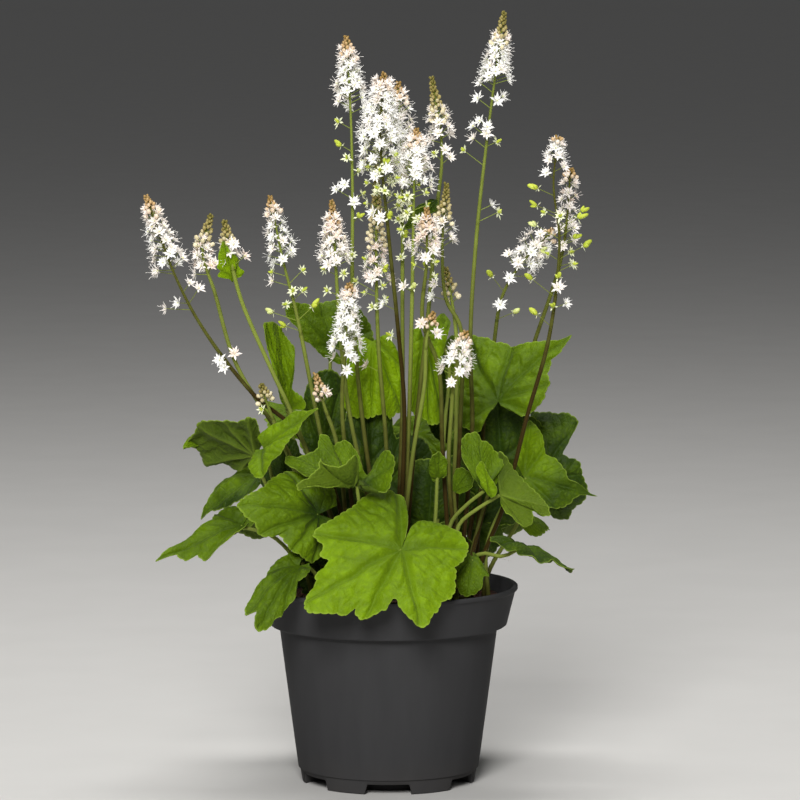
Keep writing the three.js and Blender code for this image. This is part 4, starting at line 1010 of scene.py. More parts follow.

# %% [markdown]
# ## The leaves
# Each row of the table is one leaf, in millimetres. Its petiole leaves the peat at `root` and
# passes the places in `via`. The blade runs from `base` to `tip`, and its upper side looks
# towards `face`. `bend` gives three angles: how far the tip droops, how far the blade cups and how
# far its sides sink. `width` and `fold` narrow it and fold it along the midrib.
#
# `veins` are the angles of its main veins, and `edge` is its margin: an angle, and a reach in
# hundredths of the blade's length. A leaf with no `edge` has the usual five lobes. A leaf that
# is too folded for that has its margin in space as `rim`, from the first to the last angle of
# `span`, and `hollow` pushes its middle out. `flaps` are the parts of it that turn over the fold.
#
# `tone` is how young its green is, and it holds painted light too: a leaf that lies in shade
# has a lower tone, and one that should look lit a higher one. `dim` is painted shade on the
# side at an angle, and `deep` is painted shade in the funnel.
# `quilt` and `curl` make the tissue between the veins and the margin rougher, `tooth` and `ray`
# set the size of its scallops, and `brown` the colour of its petiole.

# %% The table of leaves
# tone sets each leaf's green by its age and by painted shade; dim and deep add painted shade
LEAVES = (
    dict(name="front_large", root=(14, -20), via=[(18, -34, 130)], base=(7, -53, 126),
         tip=(-39, -75, 100), face=(0, -0.76, 0.65), bend=(22, 10, -14), tone=0.7, dim=(-125, 0.32),
         veins=(-125, -45, 0, 31, 65, 153),
         edge=((-139, 11), (-138, 47), (-138, 55), (-134, 59), (-128, 66), (-119, 67), (-108, 68),
               (-95, 65), (-81, 60), (-65, 63), (-52, 72), (-48, 76), (-44, 78), (-38, 72), (-34, 68),
               (-30, 71), (-26, 71), (-23, 66), (-19, 69), (-16, 79), (-10, 83), (-5, 96), (0, 105),
               (4, 108), (7, 106), (10, 100), (13, 94), (15, 90), (19, 86), (20, 80), (21, 74), (23, 78),
               (28, 81), (31, 78), (36, 74), (38, 71), (42, 69), (43, 64), (46, 58), (48, 58), (50, 65),
               (54, 71), (59, 78), (64, 83), (69, 82), (75, 73), (79, 71), (88, 63), (94, 64), (105, 60),
               (111, 55), (120, 52), (124, 49), (135, 54), (146, 58), (155, 61), (164, 59), (170, 59),
               (175, 56), (183, 53), (189, 49), (197, 43), (206, 35), (212, 24), (214, 10))),
    dict(name="front_left_hanging", root=(-30, -26), via=[(-38, -36, 112)], base=(-44, -47, 117),
         tip=(-67, -66, 91), face=(-0.3, -0.8, 0.5), bend=(35, 0, 0), width=0.85, tone=0.3,
         veins=(-39, -8, 11, 26, 104),
         edge=((-166, 17), (-141, 23), (-115, 25), (-90, 24), (-76, 31), (-54, 39), (-41, 44), (-28, 47),
               (-25, 51), (-24, 59), (-22, 67), (-18, 76), (-15, 86), (-11, 96), (-8, 99), (-4, 95),
               (0, 90), (3, 94), (5, 103), (8, 112), (11, 115), (14, 109), (17, 102), (19, 96), (20, 87),
               (25, 81), (26, 73), (28, 69), (33, 63), (38, 57), (38, 50), (39, 39), (40, 35), (53, 33),
               (70, 27), (97, 20), (130, 15))),
    dict(name="left_low", root=(-36, -10), via=[(-56, -12, 124)], base=(-73, -12, 133),
         tip=(-115, -18, 113), face=(0.05, -0.5, 0.86), bend=(22, 0, 0), width=0.9, tone=0.38,
         veins=(-62, 3, 30, 55),
         edge=((-142, 9), (-102, 28), (-89, 37), (-72, 39), (-62, 39), (-53, 38), (-32, 35), (-24, 42),
               (-17, 51), (-11, 61), (-5, 74), (-2, 85), (1, 97), (3, 105), (4, 96), (4, 89), (5, 82),
               (9, 80), (15, 76), (18, 71), (19, 63), (24, 64), (29, 64), (34, 62), (35, 56), (36, 50),
               (36, 43), (41, 40), (45, 35), (46, 26), (46, 18), (60, 15), (83, 11), (125, 8))),
    dict(name="left_dark", root=(-36, 12), via=[(-50, 20, 135)], base=(-66, 22, 153), tip=(-95, 30, 131),
         face=(-0.3, -0.5, 0.8), bend=(30, 0, 10), tone=0.36, dim=(75, 0.55), quilt=1.6,
         veins=(-41, 5, 10, 44),
         edge=((-126, 23), (-78, 33), (-49, 46), (-44, 57), (-36, 62), (-24, 64), (-19, 72), (-9, 78),
               (-2, 83), (1, 94), (6, 105), (6, 96), (7, 84), (13, 78), (21, 68), (33, 56), (44, 48),
               (52, 39), (69, 30), (97, 21), (156, 15))),
    dict(name="left_turned", root=(-36, 2), via=[(-56, 4, 138)], base=(-67, 6, 165), tip=(-100, 14, 166),
         face=(0, 0.75, 0.65), bend=(-15, 0, 0), tone=0.28, quilt=2.2, veins=(-51, -18, 34, 59, 91),
         edge=((-125, 15), (-85, 20), (-61, 31), (-51, 45), (-44, 53), (-35, 59), (-25, 65), (-20, 74),
               (-20, 84), (-16, 85), (-11, 87), (-3, 87), (2, 90), (2, 103), (5, 105), (8, 104),
               (14, 102), (27, 95), (35, 97), (42, 93), (49, 87), (59, 77), (69, 73), (81, 73), (91, 76),
               (100, 71), (107, 52), (115, 36), (135, 17)),
         flaps=(dict(base=(-94.9, 12, 169.4), tip=(-103, 8, 169), face=(0, -0.9, 0.4), bend=(10, 0, 0),
                     tone=0.7, deep=0, tooth=0.2, ray=0.5, span=(-90, 90), veins=(0, 60),
                     rim=((-95.4, 12, 170.9), (-95.3, 10, 173.7), (-96.7, 9, 174.8), (-99.7, 8, 172.9),
                          (-101.7, 8, 170.4), (-103.3, 8, 166.8), (-100.2, 7, 168), (-97.7, 8, 167.9),
                          (-95.8, 10, 168.1))),)),
    dict(name="left_folded", root=(-38, -17), via=[(-41, -18, 108), (-56, -17, 148)],
         base=(-63, -27, 172), tip=(-33, -33, 189), face=(0, -0.6, 0.8), bend=(15, 20, 0), width=0.9,
         fold=15, tone=0.58, veins=(-267, -96, -16, 6),
         edge=((-190, 11), (-142, 22), (-129, 36), (-113, 55), (-103, 68), (-96, 68), (-85, 65),
               (-73, 58), (-61, 63), (-46, 57), (-31, 58), (-16, 62), (-9, 68), (-1, 74), (1, 88),
               (3, 96), (6, 101), (9, 86), (20, 74), (24, 62), (32, 48), (44, 38), (56, 29), (68, 23),
               (88, 20))),
    dict(name="left_large", root=(-24, -22), via=[(-26, -26, 124)], base=(-33, -34, 140),
         tip=(-72, -47, 146), face=(0, -0.83, 0.56), bend=(40, 0, -10), width=0.92, tone=0.44, deep=0.5,
         veins=(-52, 2, 28, 57, 88),
         edge=((-144, 38), (-125, 51), (-106, 51), (-85, 53), (-67, 58), (-59, 63), (-54, 68), (-45, 70),
               (-36, 73), (-29, 75), (-19, 79), (-13, 86), (-9, 93), (-4, 101), (0, 108), (6, 108),
               (11, 103), (15, 97), (19, 91), (24, 89), (29, 85), (33, 79), (36, 71), (36, 65), (42, 65),
               (52, 69), (58, 70), (67, 69), (78, 67), (88, 65), (95, 57), (109, 45), (135, 33),
               (165, 27))),
    dict(name="cupped", root=(-16, -18), via=[(-13, -24, 128)], base=(-15.5, -34, 153.3),
         tip=(-45, -30, 166), face=(0, -0.6, 0.8), bend=(-15, -10, -10), tone=0.4, deep=0.5, hollow=-1.5,
         veins=(-115, -85, 0, 40, 105),
         rim=((-12.5, -33, 155.2), (-9.5, -36, 153.5), (-6.5, -39, 151.9), (-3.6, -41, 151.2),
              (-0.6, -42, 151.3), (1.4, -41, 154.2), (2.3, -39, 158.9), (3.3, -37, 163.6),
              (3.3, -35, 166.8), (1.4, -32, 170), (-0.6, -30, 171.2), (-2.6, -28, 170),
              (-4.6, -27, 166.9), (-7.6, -26, 162.8), (-10.6, -26, 158.3), (-13.1, -24, 162.6),
              (-14.6, -21, 167.2), (-16.6, -19, 170), (-19.6, -17, 172.7), (-22.1, -16, 174.1),
              (-25, -16, 173.6), (-27.5, -18, 171.9), (-29, -18, 174.4), (-30, -18, 176.4),
              (-32, -18, 177.4), (-34, -18, 177.4), (-34.9, -19, 174.5), (-35.4, -21, 170.7),
              (-37.9, -23, 168.9), (-42.8, -25, 167.7), (-47.2, -27, 167.9), (-50.6, -28, 167),
              (-51.6, -30, 164.8), (-49.6, -32, 163), (-45.1, -35, 161.9), (-40.6, -38, 158.8)),
         flaps=(dict(base=(-16.9, -36, 153), tip=(-45, -50, 162), face=(0, 0.8, 0.6), bend=(10, 0, 0),
                     tone=0.6, deep=0.25, span=(-90, 90), hollow=1.5, veins=(-80, 0, 60),
                     rim=((-14.9, -38, 157.8), (-14.9, -41, 164.1), (-15.8, -43, 169.8),
                          (-17.8, -45, 169), (-20.2, -47, 166.8), (-22.7, -48, 165.4),
                          (-25.6, -48, 164.9), (-29.1, -48, 165.4), (-32, -47, 166.8), (-33.5, -45, 169),
                          (-34.5, -46, 166.7), (-35, -48, 163.9), (-37.4, -50, 162.2),
                          (-39.3, -51, 159.3), (-43.2, -52, 158), (-45.7, -53, 155.6),
                          (-44.2, -54, 153.3), (-40.3, -53, 154.6), (-35.4, -50, 155.3),
                          (-29.6, -46, 154.8), (-22.8, -41, 154.2), (-18.9, -38, 153.3))),)),
    dict(name="upright_folded", root=(-30, 20), via=[(-44, 20, 150)], base=(-50, 17, 186),
         tip=(-56, 15, 229), face=(0.4, -0.9, 0.1), bend=(-15, 10, 20), width=0.6, fold=55, tone=0.62,
         veins=(-83, -34, 31, 40),
         edge=((-97, 31), (-88, 41), (-77, 42), (-62, 35), (-41, 29), (-34, 35), (-34, 45), (-33, 67),
               (-31, 74), (-25, 81), (-14, 86), (-6, 91), (-3, 98), (14, 107), (30, 121), (40, 133),
               (52, 90), (60, 94), (63, 76), (68, 60), (75, 45), (87, 26))),
    dict(name="back_left_tall", root=(-22, 26), via=[(-30, 40, 170)], base=(-28, 44, 215),
         tip=(-49, 44, 237), face=(0, -0.85, 0.5), bend=(15, 0, 0), tone=0.34,
         veins=(-110, -74, -28, 3, 45),
         edge=((-160, 54), (-136, 72), (-117, 78), (-101, 82), (-87, 84), (-74, 86), (-60, 84), (-45, 80),
               (-31, 78), (-18, 80), (-8, 91), (0, 103), (4, 106), (12, 102), (17, 85), (21, 69),
               (33, 59), (36, 50), (43, 38), (65, 29), (92, 24), (142, 27), (170, 38))),
    dict(name="centre_hanging", root=(-8, 16), via=[(-8, 32, 170), (-8, 37, 212)], base=(-8, 31, 220),
         tip=(-9, 22, 182), face=(0, -0.9, 0.4), bend=(35, 30, 20), width=0.75, tone=1.05,
         veins=(-52, -27, 1, 32, 61),
         edge=((-105, 23), (-78, 37), (-61, 52), (-50, 69), (-41, 84), (-33, 98), (-26, 101), (-19, 104),
               (-11, 105), (-3, 107), (3, 105), (10, 102), (17, 104), (20, 109), (26, 106), (33, 105),
               (36, 99), (44, 85), (57, 65), (79, 46), (110, 28))),
    dict(name="centre_right", root=(22, 18), via=[(28, 30, 170), (29, 35, 214)], base=(18, 30, 222),
         tip=(21, 20, 180), face=(0.1, -0.9, 0.4), bend=(35, 30, 20), width=0.62, tone=0.8,
         veins=(-22, -1, 15),
         edge=((-152, 15), (-123, 22), (-72, 29), (-45, 46), (-33, 66), (-26, 83), (-20, 93), (-14, 98),
               (-6, 101), (-1, 107), (6, 108), (11, 105), (13, 99), (17, 80), (25, 65), (38, 45),
               (131, 169))),
    dict(name="centre_behind", root=(34, 22), via=[(38, 38, 140)], base=(33, 50, 180), tip=(27, 52, 210),
         face=(0.2, -0.9, 0.3), bend=(30, 10, 20), width=0.75, tone=0.06),
    dict(name="right_large", root=(44, 16), via=[(47, 30, 150), (50, 34, 186)], base=(54, 18, 191),
         tip=(87, 34, 230), face=(-0.3, -0.75, 0.6), bend=(22, 0, 0), tone=0.42, brown=0.9,
         veins=(-80, -45, -12, 23, 65, 154),
         edge=((-111, 6), (-101, 14), (-95, 23), (-94, 33), (-88, 37), (-82, 39), (-74, 44), (-67, 48),
               (-60, 51), (-51, 52), (-41, 55), (-32, 55), (-26, 60), (-20, 64), (-19, 69), (-18, 75),
               (-16, 79), (-14, 87), (-12, 95), (-11, 91), (-10, 85), (-8, 79), (-4, 73), (1, 67),
               (8, 62), (14, 58), (21, 56), (31, 60), (40, 62), (46, 69), (53, 74), (59, 83), (66, 90),
               (71, 100), (77, 99), (83, 94), (90, 76), (101, 60), (116, 50), (136, 45), (152, 43),
               (170, 38), (185, 35), (186, 27), (186, 16), (193, 7))),
    dict(name="right_dark", root=(48, 4), via=[(51, 7, 106), (66, 24, 128)], base=(77, 36, 149),
         tip=(99, 44, 177), face=(0.1, -0.75, 0.6), bend=(30, 20, 30), tone=0.08,
         veins=(-120, -52, 4, 48),
         edge=((-301, 168), (-300, 83), (-283, 45), (-244, 24), (-179, 27), (-148, 37), (-135, 49),
               (-130, 64), (-124, 69), (-115, 75), (-107, 69), (-99, 67), (-88, 72), (-78, 73), (-69, 71),
               (-61, 65), (-52, 60), (-35, 60), (-28, 57), (-20, 49), (-8, 47), (-4, 59), (-1, 70),
               (0, 81), (0, 90), (3, 98), (10, 101), (17, 102), (25, 98), (33, 102), (41, 105),
               (51, 123))),
    dict(name="right_curved", root=(50, -4), via=[(49, -4, 117), (57, 0, 138)], base=(68, 1, 154),
         tip=(104, 4, 144), face=(0.1, -0.9, 0.42), bend=(20, 0, 10), tone=0.62, dim=(-35, 0.55),
         veins=(-31, -1, 68, 95),
         edge=((-101, 14), (-58, 23), (-47, 41), (-40, 56), (-29, 64), (-17, 71), (-8, 76), (-3, 85),
               (-2, 96), (-2, 104), (1, 91), (4, 81), (6, 66), (9, 59), (17, 58), (32, 53), (44, 50),
               (57, 44), (68, 51), (75, 61), (82, 72), (89, 83), (96, 92), (101, 71), (112, 42),
               (132, 23))),
    dict(name="right_front", root=(34, -20), via=[(33, -21, 112), (35, -22, 132), (44, -28, 141)],
         base=(55.3, -33, 148.7), tip=(79, -41, 142), face=(-0.2, 0.8, -0.6), bend=(10, 0, 0), tone=0.72,
         dim=(-115, 0.7), deep=0.3, brown=0, span=(-120, 120), hollow=1, veins=(-95, 0, 85),
         rim=((54.4, -28, 154.6), (52.9, -26, 160.3), (52.4, -25, 165.7), (54.4, -26, 169.8),
              (57.3, -28, 169), (59.8, -29, 165.6), (62.2, -30, 161.8), (65.7, -31, 157.9),
              (69.1, -33, 154.2), (73, -35, 150.9), (76.4, -38, 147.3), (79.3, -41, 143.7),
              (79.7, -43, 139.5), (77.3, -42, 139.4), (74.9, -40, 140.6), (71.5, -38, 140.9),
              (71.9, -39, 138), (70.4, -40, 134.7), (67, -40, 133.7), (64, -39, 135.5),
              (61.6, -37, 138.2), (58.2, -36, 139.6), (56.7, -35, 144)),
         flaps=(dict(root=(32, -14), via=[(29, -15, 112), (31, -17, 132), (39, -26, 143)],
                     base=(47.3, -34, 150.8), tip=(43, -28, 179), face=(0.1, -0.9, 0.4), bend=(10, 0, 0),
                     tone=0.38, deep=0.4, brown=0, span=(-110, 110), veins=(-50, 0, 55),
                     rim=((45.3, -35, 151.9), (43.4, -34, 156.3), (40.4, -33, 161.1), (37.5, -31, 165.9),
                          (36, -29, 170.6), (36.5, -27, 176.4), (38.5, -26, 178.3), (41, -26, 179.3),
                          (43.9, -27, 179.4), (45.9, -29, 176.1), (49.4, -28, 174.5), (52.4, -27, 170.9),
                          (55.3, -27, 167.9), (57.3, -29, 163.6), (55.8, -27, 158.4), (53.8, -30, 153.8),
                          (52.3, -33, 149.7), (49.3, -35, 148.9))),
                dict(base=(50.2, -39, 148.4), tip=(44, -42, 167), face=(0.3, -0.9, 0.3), bend=(10, 0, 0),
                     tone=0.75, deep=0.1, tooth=0.4, ray=0.7, span=(-60, 60), veins=(-10, 0),
                     rim=((45.7, -39, 153.9), (44.2, -41, 157.6), (43.2, -42, 161.2), (43.7, -42, 164.7),
                          (45.7, -42, 166.7), (47.2, -42, 165.7), (48.1, -42, 162.7), (49.6, -41, 159.6),
                          (52.1, -41, 156.1), (53.6, -41, 152.7), (53.1, -41, 149.7),
                          (51.2, -40, 148.1))))),
    dict(name="right_low", root=(30, -27), via=[(40, -33, 112)], base=(42, -33, 118), tip=(40, -38, 100),
         face=(0, -0.9, 0.4), bend=(20, 0, 0), tone=0.33, veins=(-35, -3, 45),
         edge=((-124, 24), (-88, 32), (-64, 42), (-46, 58), (-30, 76), (-21, 93), (-12, 105), (-3, 108),
               (6, 103), (16, 95), (24, 84), (29, 67), (39, 62), (47, 68), (49, 53), (65, 33), (90, 13),
               (198, 13))),
    dict(name="right_edge", root=(40, -19), via=[(41, -19, 114), (47, -22, 118), (57, -25, 117)],
         base=(66, -24, 124), tip=(92, -28, 110), face=(0.1, 0.1, 1), bend=(20, 0, 20), width=0.8,
         tone=0.14),
    dict(name="centre_small", root=(18, -18), via=[(23, -20, 130)], base=(24.7, -20, 154.1),
         tip=(22.6, -27, 167.9), face=(0, -0.9, 0.4), bend=(20, 0, 0), tone=0.35, veins=(-68, -11, 0, 58),
         edge=((-68, 4), (-68, 14), (-53, 35), (-42, 56), (-33, 75), (-23, 89), (-11, 102), (0, 108),
               (9, 92), (18, 68), (33, 45), (58, 25), (111, 7))),
    dict(name="middle_dark", root=(-18, 12), via=[(-26, 22, 130)], base=(-34, 28, 163),
         tip=(-36, 38, 200), face=(0, -0.9, 0.4), bend=(30, 0, 20), width=0.8, tone=0.08,
         veins=(-26, 0, 21),
         edge=((-93, 39), (-58, 51), (-35, 82), (-25, 105), (-13, 115), (-1, 110), (10, 96), (21, 75),
               (37, 54), (62, 35), (98, 23))),
    dict(name="back_left_low", root=(-30, 30), via=[(-42, 42, 120)], base=(-50, 50, 132),
         tip=(-80, 70, 114), face=(-0.3, 0.5, 0.8), bend=(35, 10, 20), tone=0.4),
    dict(name="back_low", root=(0, 36), via=[(0, 50, 120)], base=(-4, 63, 128), tip=(-4, 104, 110),
         face=(0, 0.5, 0.9), bend=(40, 10, 10), width=0.9, tone=0.53),
    dict(name="back_right_low", root=(30, 34), via=[(42, 46, 118)], base=(48, 54, 130), tip=(76, 84, 116),
         face=(0.3, 0.5, 0.8), bend=(35, 10, 20), tone=0.43),
    dict(name="back_left_high", root=(-20, 30), via=[(-28, 42, 140)], base=(-34, 57, 170),
         tip=(-64, 76, 182), face=(-0.3, 0.3, 0.9), bend=(40, 20, 10), tone=0.5),
    dict(name="back_right_high", root=(14, 34), via=[(15, 50, 140)], base=(13, 66, 170),
         tip=(32, 101, 174), face=(0.2, 0.4, 0.9), bend=(40, 20, 10), tone=0.57),
)
print("leaves:", len(LEAVES))

# %% Every leaf
PETIOLE_RADIUS = 1.1
STEM_STEP = 4


def make_leaf(leaf, seed):
    draw = random.Random(seed)
    bm = new_bmesh()
    hairs = []
    for part in (leaf, *leaf.get("flaps", ())):
        junction = add_blade(bm, part, seed)
        if "via" not in part:
            continue
        route = petiole_route(part, junction)
        steps = max(8, round(route.length / STEM_STEP))
        points = [route.at(step / steps) for step in range(steps + 1)]
        radii = [PETIOLE_RADIUS * (1.1 - 0.3 * step / steps) for step in range(steps + 1)]
        brown = part.get("brown", 0.25 * draw.random())
        tones = [brown + 0.8 * max(0, 1 - 2.5 * step / steps) for step in range(steps + 1)]
        tube(bm, points, radii, tones, PETIOLE)
        hairs += hairs_along(route, (PETIOLE_DEPTH + 1) / route.length, 0.93, draw)
    mesh = to_mesh(bm, "blade_" + leaf["name"], [upper_skin, under_skin, stem_skin])
    return to_piece(mesh, hairs)


for seed, leaf in enumerate(LEAVES):
    triangles[leaf["name"]] = tie(make_leaf(leaf, seed + 1), "leaf_" + leaf["name"])
print("leaves:", sum(triangles[leaf["name"]] for leaf in LEAVES), "triangles")

# %% [markdown]
# ## Petals, buds and capsules
# A floret is a star of five white sepals with five narrower petals between them, and a brush
# of stamens that stand out past them. It is hardly a centimetre wide and there are hundreds,
# so each petal is a lens of six faces and each stamen a spike of five. Buds are small beads,
# olive or peach at the tip and cream where they open. A seed capsule is two thin lime pods, a
# long one and a short one, with the dried star behind them.

# %% The flower's finishes
def petal_skin():
    """Petal tissue: air between its cells makes it white, and light passes through it"""
    material, tree, shader = new_material(
        "white_petal_skin", IOR=1.38, Roughness=0.6, Specular_IOR_Level=0.2, Subsurface_Weight=0.1,
        Subsurface_Scale=0.7 * MM, Subsurface_Radius=(1.0, 1.0, 0.9))
    place = add_node(tree, "TexCoord").outputs["Object"]
    blush = mottled_tone(tree, place, 5, 2, 0.3, -0.12)
    colour = add_node(tree, "Mix", {
        SHARE: blush, FIRST: linear("fcfbf6"), SECOND: linear("efd0bd")}, data_type="RGBA")
    set_inputs(tree, shader, {"Base Color": colour})
    return material


def bead_skin(name, tip, middle, open_end):
    """Bud and capsule skin: smooth, thin and a little glossy, darker where it is youngest"""
    material, tree, shader = new_material(
        name, IOR=1.42, Roughness=0.5, Subsurface_Weight=0.1, Subsurface_Scale=0.7 * MM,
        Subsurface_Radius=(1.0, 0.7, 0.4), Specular_IOR_Level=0.3)
    tone = add_node(tree, "Attribute", attribute_name="tone").outputs["Fac"]
    place = add_node(tree, "TexCoord").outputs["Object"]
    tint = add_node(tree, "TexNoise", {"Vector": place, "Scale": per_metre(2.5), "Detail": 3})
    amount = add_node(tree, "Math", {0: tint, 1: 0.5, 2: -0.25}, operation="MULTIPLY_ADD")
    age = add_node(tree, "Math", {0: tone, 1: amount}, operation="ADD")
    early = add_node(tree, "MapRange", {"Value": age, "From Max": 0.5})
    late = add_node(tree, "MapRange", {"Value": age, "From Min": 0.5})
    first = add_node(tree, "Mix", {
        SHARE: early, FIRST: linear(tip), SECOND: linear(middle)}, data_type="RGBA")
    colour = add_node(tree, "Mix", {
        SHARE: late, FIRST: first, SECOND: linear(open_end)}, data_type="RGBA")
    set_inputs(tree, shader, {"Base Color": colour})
    return material


petal = petal_skin()
peach_bud = bead_skin("peach_bud_skin", "8f7238", "c9a877", "f3e2cf")
olive_bud = bead_skin("olive_bud_skin", "6f682a", "a3955a", "ece0bc")
capsule_skin = bead_skin("lime_capsule_skin", "9cac2c", "c0cc48", "eef0cc")
print("materials", petal.name, peach_bud.name, olive_bud.name, capsule_skin.name)

# %% The small shapes
FLOWER_PARTS = [stem_skin, petal, peach_bud, olive_bud, capsule_skin]
STEM, PETAL, PEACH, OLIVE, CAPSULE = range(5)


def paint(bm, verts, material, tone):
    layer = bm.verts.layers.float["tone"]
    for vert in verts:
        vert[layer] = tone
    for face in {face for vert in verts for face in vert.link_faces}:
        face.material_index = material


def leaned(tilt, turn, start=0.0):
    """Leans a shape out from its flower's axis, by degrees, on the side that turn points to"""
    lean = Matrix.Rotation(turn, 4, "Z") @ Matrix.Rotation(math.radians(tilt), 4, "X")
    return lean @ Matrix.Translation((0, 0, start))


def lobe(bm, length, width, place, material, tone, widest=0.7):
    """A closed petal of six faces: flat above, with a keel below, widest near its end"""
    verts = bmesh.ops.create_uvsphere(bm, u_segments=3, v_segments=2, radius=1)["verts"]
    for vert in verts:
        height = widest * length if abs(vert.co.z) < 0.5 else (length if vert.co.z > 0 else 0)
        vert.co = (vert.co.x * width / math.sqrt(3), vert.co.y * -0.3, height)
    bmesh.ops.transform(bm, matrix=place, verts=verts)
    paint(bm, verts, material, tone)


def spike(bm, length, low, high, place, material, tone):
    verts = bmesh.ops.create_cone(bm, cap_ends=True, segments=3, radius1=low, radius2=high,
                                  depth=length)["verts"]
    bmesh.ops.transform(bm, matrix=place @ Matrix.Translation((0, 0, length / 2)), verts=verts)
    paint(bm, verts, material, tone)


def pod(bm, length, width, place, tone):
    """One half of a seed capsule, a flattened tapering bag"""
    verts = bmesh.ops.create_uvsphere(bm, u_segments=5, v_segments=4, radius=1)["verts"]
    for vert in verts:
        share = (vert.co.z + 1) / 2
        taper = 1 - 0.3 * share
        vert.co = (vert.co.x * width / 2 * taper, vert.co.y * width / 2.9 * taper, share * length)
    bmesh.ops.transform(bm, matrix=place, verts=verts)
    paint(bm, verts, CAPSULE, tone)
    for face in {face for vert in verts for face in vert.link_faces}:
        face.smooth = True


def floret_shape(seed, blush, opened=1.0):
    """One floret, its axis along Z and its foot at the end of its stalk"""
    draw = random.Random(seed)
    bm = new_bmesh()
    for part in range(5):
        turn = part * 2 * math.pi / 5 + draw.uniform(-0.1, 0.1)
        tilt = 60 * opened + draw.uniform(-8, 8)
        lobe(bm, draw.uniform(3.0, 3.6), 1.5, leaned(tilt, turn, 0.1), PETAL, blush, widest=0.6)
        turn += math.pi / 5
        tilt = 74 * opened + draw.uniform(-12, 10)
        lobe(bm, draw.uniform(4.0, 4.9), 1.3, leaned(tilt, turn, 0.1), PETAL, blush * 0.5, widest=0.56)
    lobe(bm, 1.5, 1.3, Matrix(), CAPSULE, 0.8, widest=0.5)
    for part in range(5):
        turn = part * 2 * math.pi / 5 + draw.uniform(-0.2, 0.2)
        place = leaned(draw.uniform(18, 58) * opened, turn, 0.3)
        spike(bm, draw.uniform(3.4, 5.2), 0.04, 0.11, place, PETAL, blush * 0.4)
    return to_mesh(bm, "floret", FLOWER_PARTS)


def set_shape(seed):
    """An older floret, yellowish, with the two pods already swelling in its middle"""
    draw = random.Random(seed)
    bm = new_bmesh()
    for part in range(8):
        turn = part * math.pi / 4 + draw.uniform(-0.2, 0.2)
        tone = 1.1 if part % 2 else 1.4
        length = draw.uniform(2.8, 4.3)
        lobe(bm, length, 1.2, leaned(draw.uniform(60, 90), turn), CAPSULE, tone, widest=0.55)
    pod(bm, draw.uniform(2.8, 3.6), 2.2, leaned(12, 0), 0.25 + 0.4 * draw.random())
    pod(bm, draw.uniform(1.8, 2.4), 1.8, leaned(24, math.pi), 0.5)
    return to_mesh(bm, "set_floret", FLOWER_PARTS)


def capsule_shape(seed):
    """Two pods of different lengths, with a few dried petals behind them"""
    draw = random.Random(seed)
    bm = new_bmesh()
    ripe = draw.uniform(0.1, 0.7)
    pod(bm, draw.uniform(4.9, 6.2), 4.0, leaned(14, 0), ripe)
    pod(bm, draw.uniform(3.2, 4.0), 3.0, leaned(26, math.pi), ripe)
    for part in range(3):
        turn = part * 2.2 + draw.uniform(-0.3, 0.3)
        length = draw.uniform(2.6, 3.8)
        lobe(bm, length, 1.0, leaned(draw.uniform(75, 110), turn), CAPSULE, 1.4, widest=0.55)
    return to_mesh(bm, "capsule", FLOWER_PARTS)


def bud_shape(material, tone):
    bm = new_bmesh()
    verts = bmesh.ops.create_uvsphere(bm, u_segments=6, v_segments=3, radius=1)["verts"]
    for vert in verts:
        vert.co.z = vert.co.z * 1.2 + 1.0
    paint(bm, verts, material, tone)
    for face in bm.faces:
        face.smooth = True
    return to_mesh(bm, "bud", FLOWER_PARTS)


def stalk_shape(tone):
    bm = new_bmesh()
    spike(bm, 1, 0.24, 0.18, Matrix(), STEM, tone)
    return to_mesh(bm, "stalk", FLOWER_PARTS)


BLUSHES = (0.0, 0.3, 0.7)
florets = {blush: [floret_shape(seed, blush) for seed in range(5)] for blush in BLUSHES}
young_florets = [floret_shape(seed + 20, 0.45, opened=0.6) for seed in range(3)]
set_florets = [set_shape(seed + 30) for seed in range(4)]
capsules = [capsule_shape(seed + 50) for seed in range(4)]
bud_shapes = {kind: [bud_shape(kind, step / 6) for step in range(7)] for kind in (PEACH, OLIVE)}
stalks = {tone: stalk_shape(tone) for tone in (0.05, 0.4, 0.8)}
print("faces: floret", len(florets[0.0][0].polygons), "set floret", len(set_florets[0].polygons),
      "capsule", len(capsules[0].polygons), "bud", len(bud_shapes[PEACH][0].polygons))

# %% [markdown]
# ## The flower stems
# Each stem rises from one of three crowns, which are the knobby tops of the rhizome. It is
# bare up to a share of its length, and from there on it is the axis of a raceme: seed capsules
# and old florets lowest and far apart, open florets crowded above them, and a cone of buds at
# the tip. Each next flower stands a golden angle further round the stem, as in nature. The
# flowers that stand alone have rows of their own: kind, share of the stem, side in degrees
# (0 is right, 180 left and -90 front) and length of the stalk in millimetres, which is left out
# where it is the usual one. `bare` is the share of the stem below its first flower, and `cone`
# the share where the buds begin, with `tip` for their kind and `spacing` for the millimetres
# between them. `blush` is how pink the petals are, and `tone` how brown the stem is.

# %% The table of flower stems
CROWNS = {"left": ((-22, -4), 6.5), "middle": ((2, -2), 7.5), "right": ((36, -4), 6.5)}
OPEN, SET, POD = "open", "set", "pod"

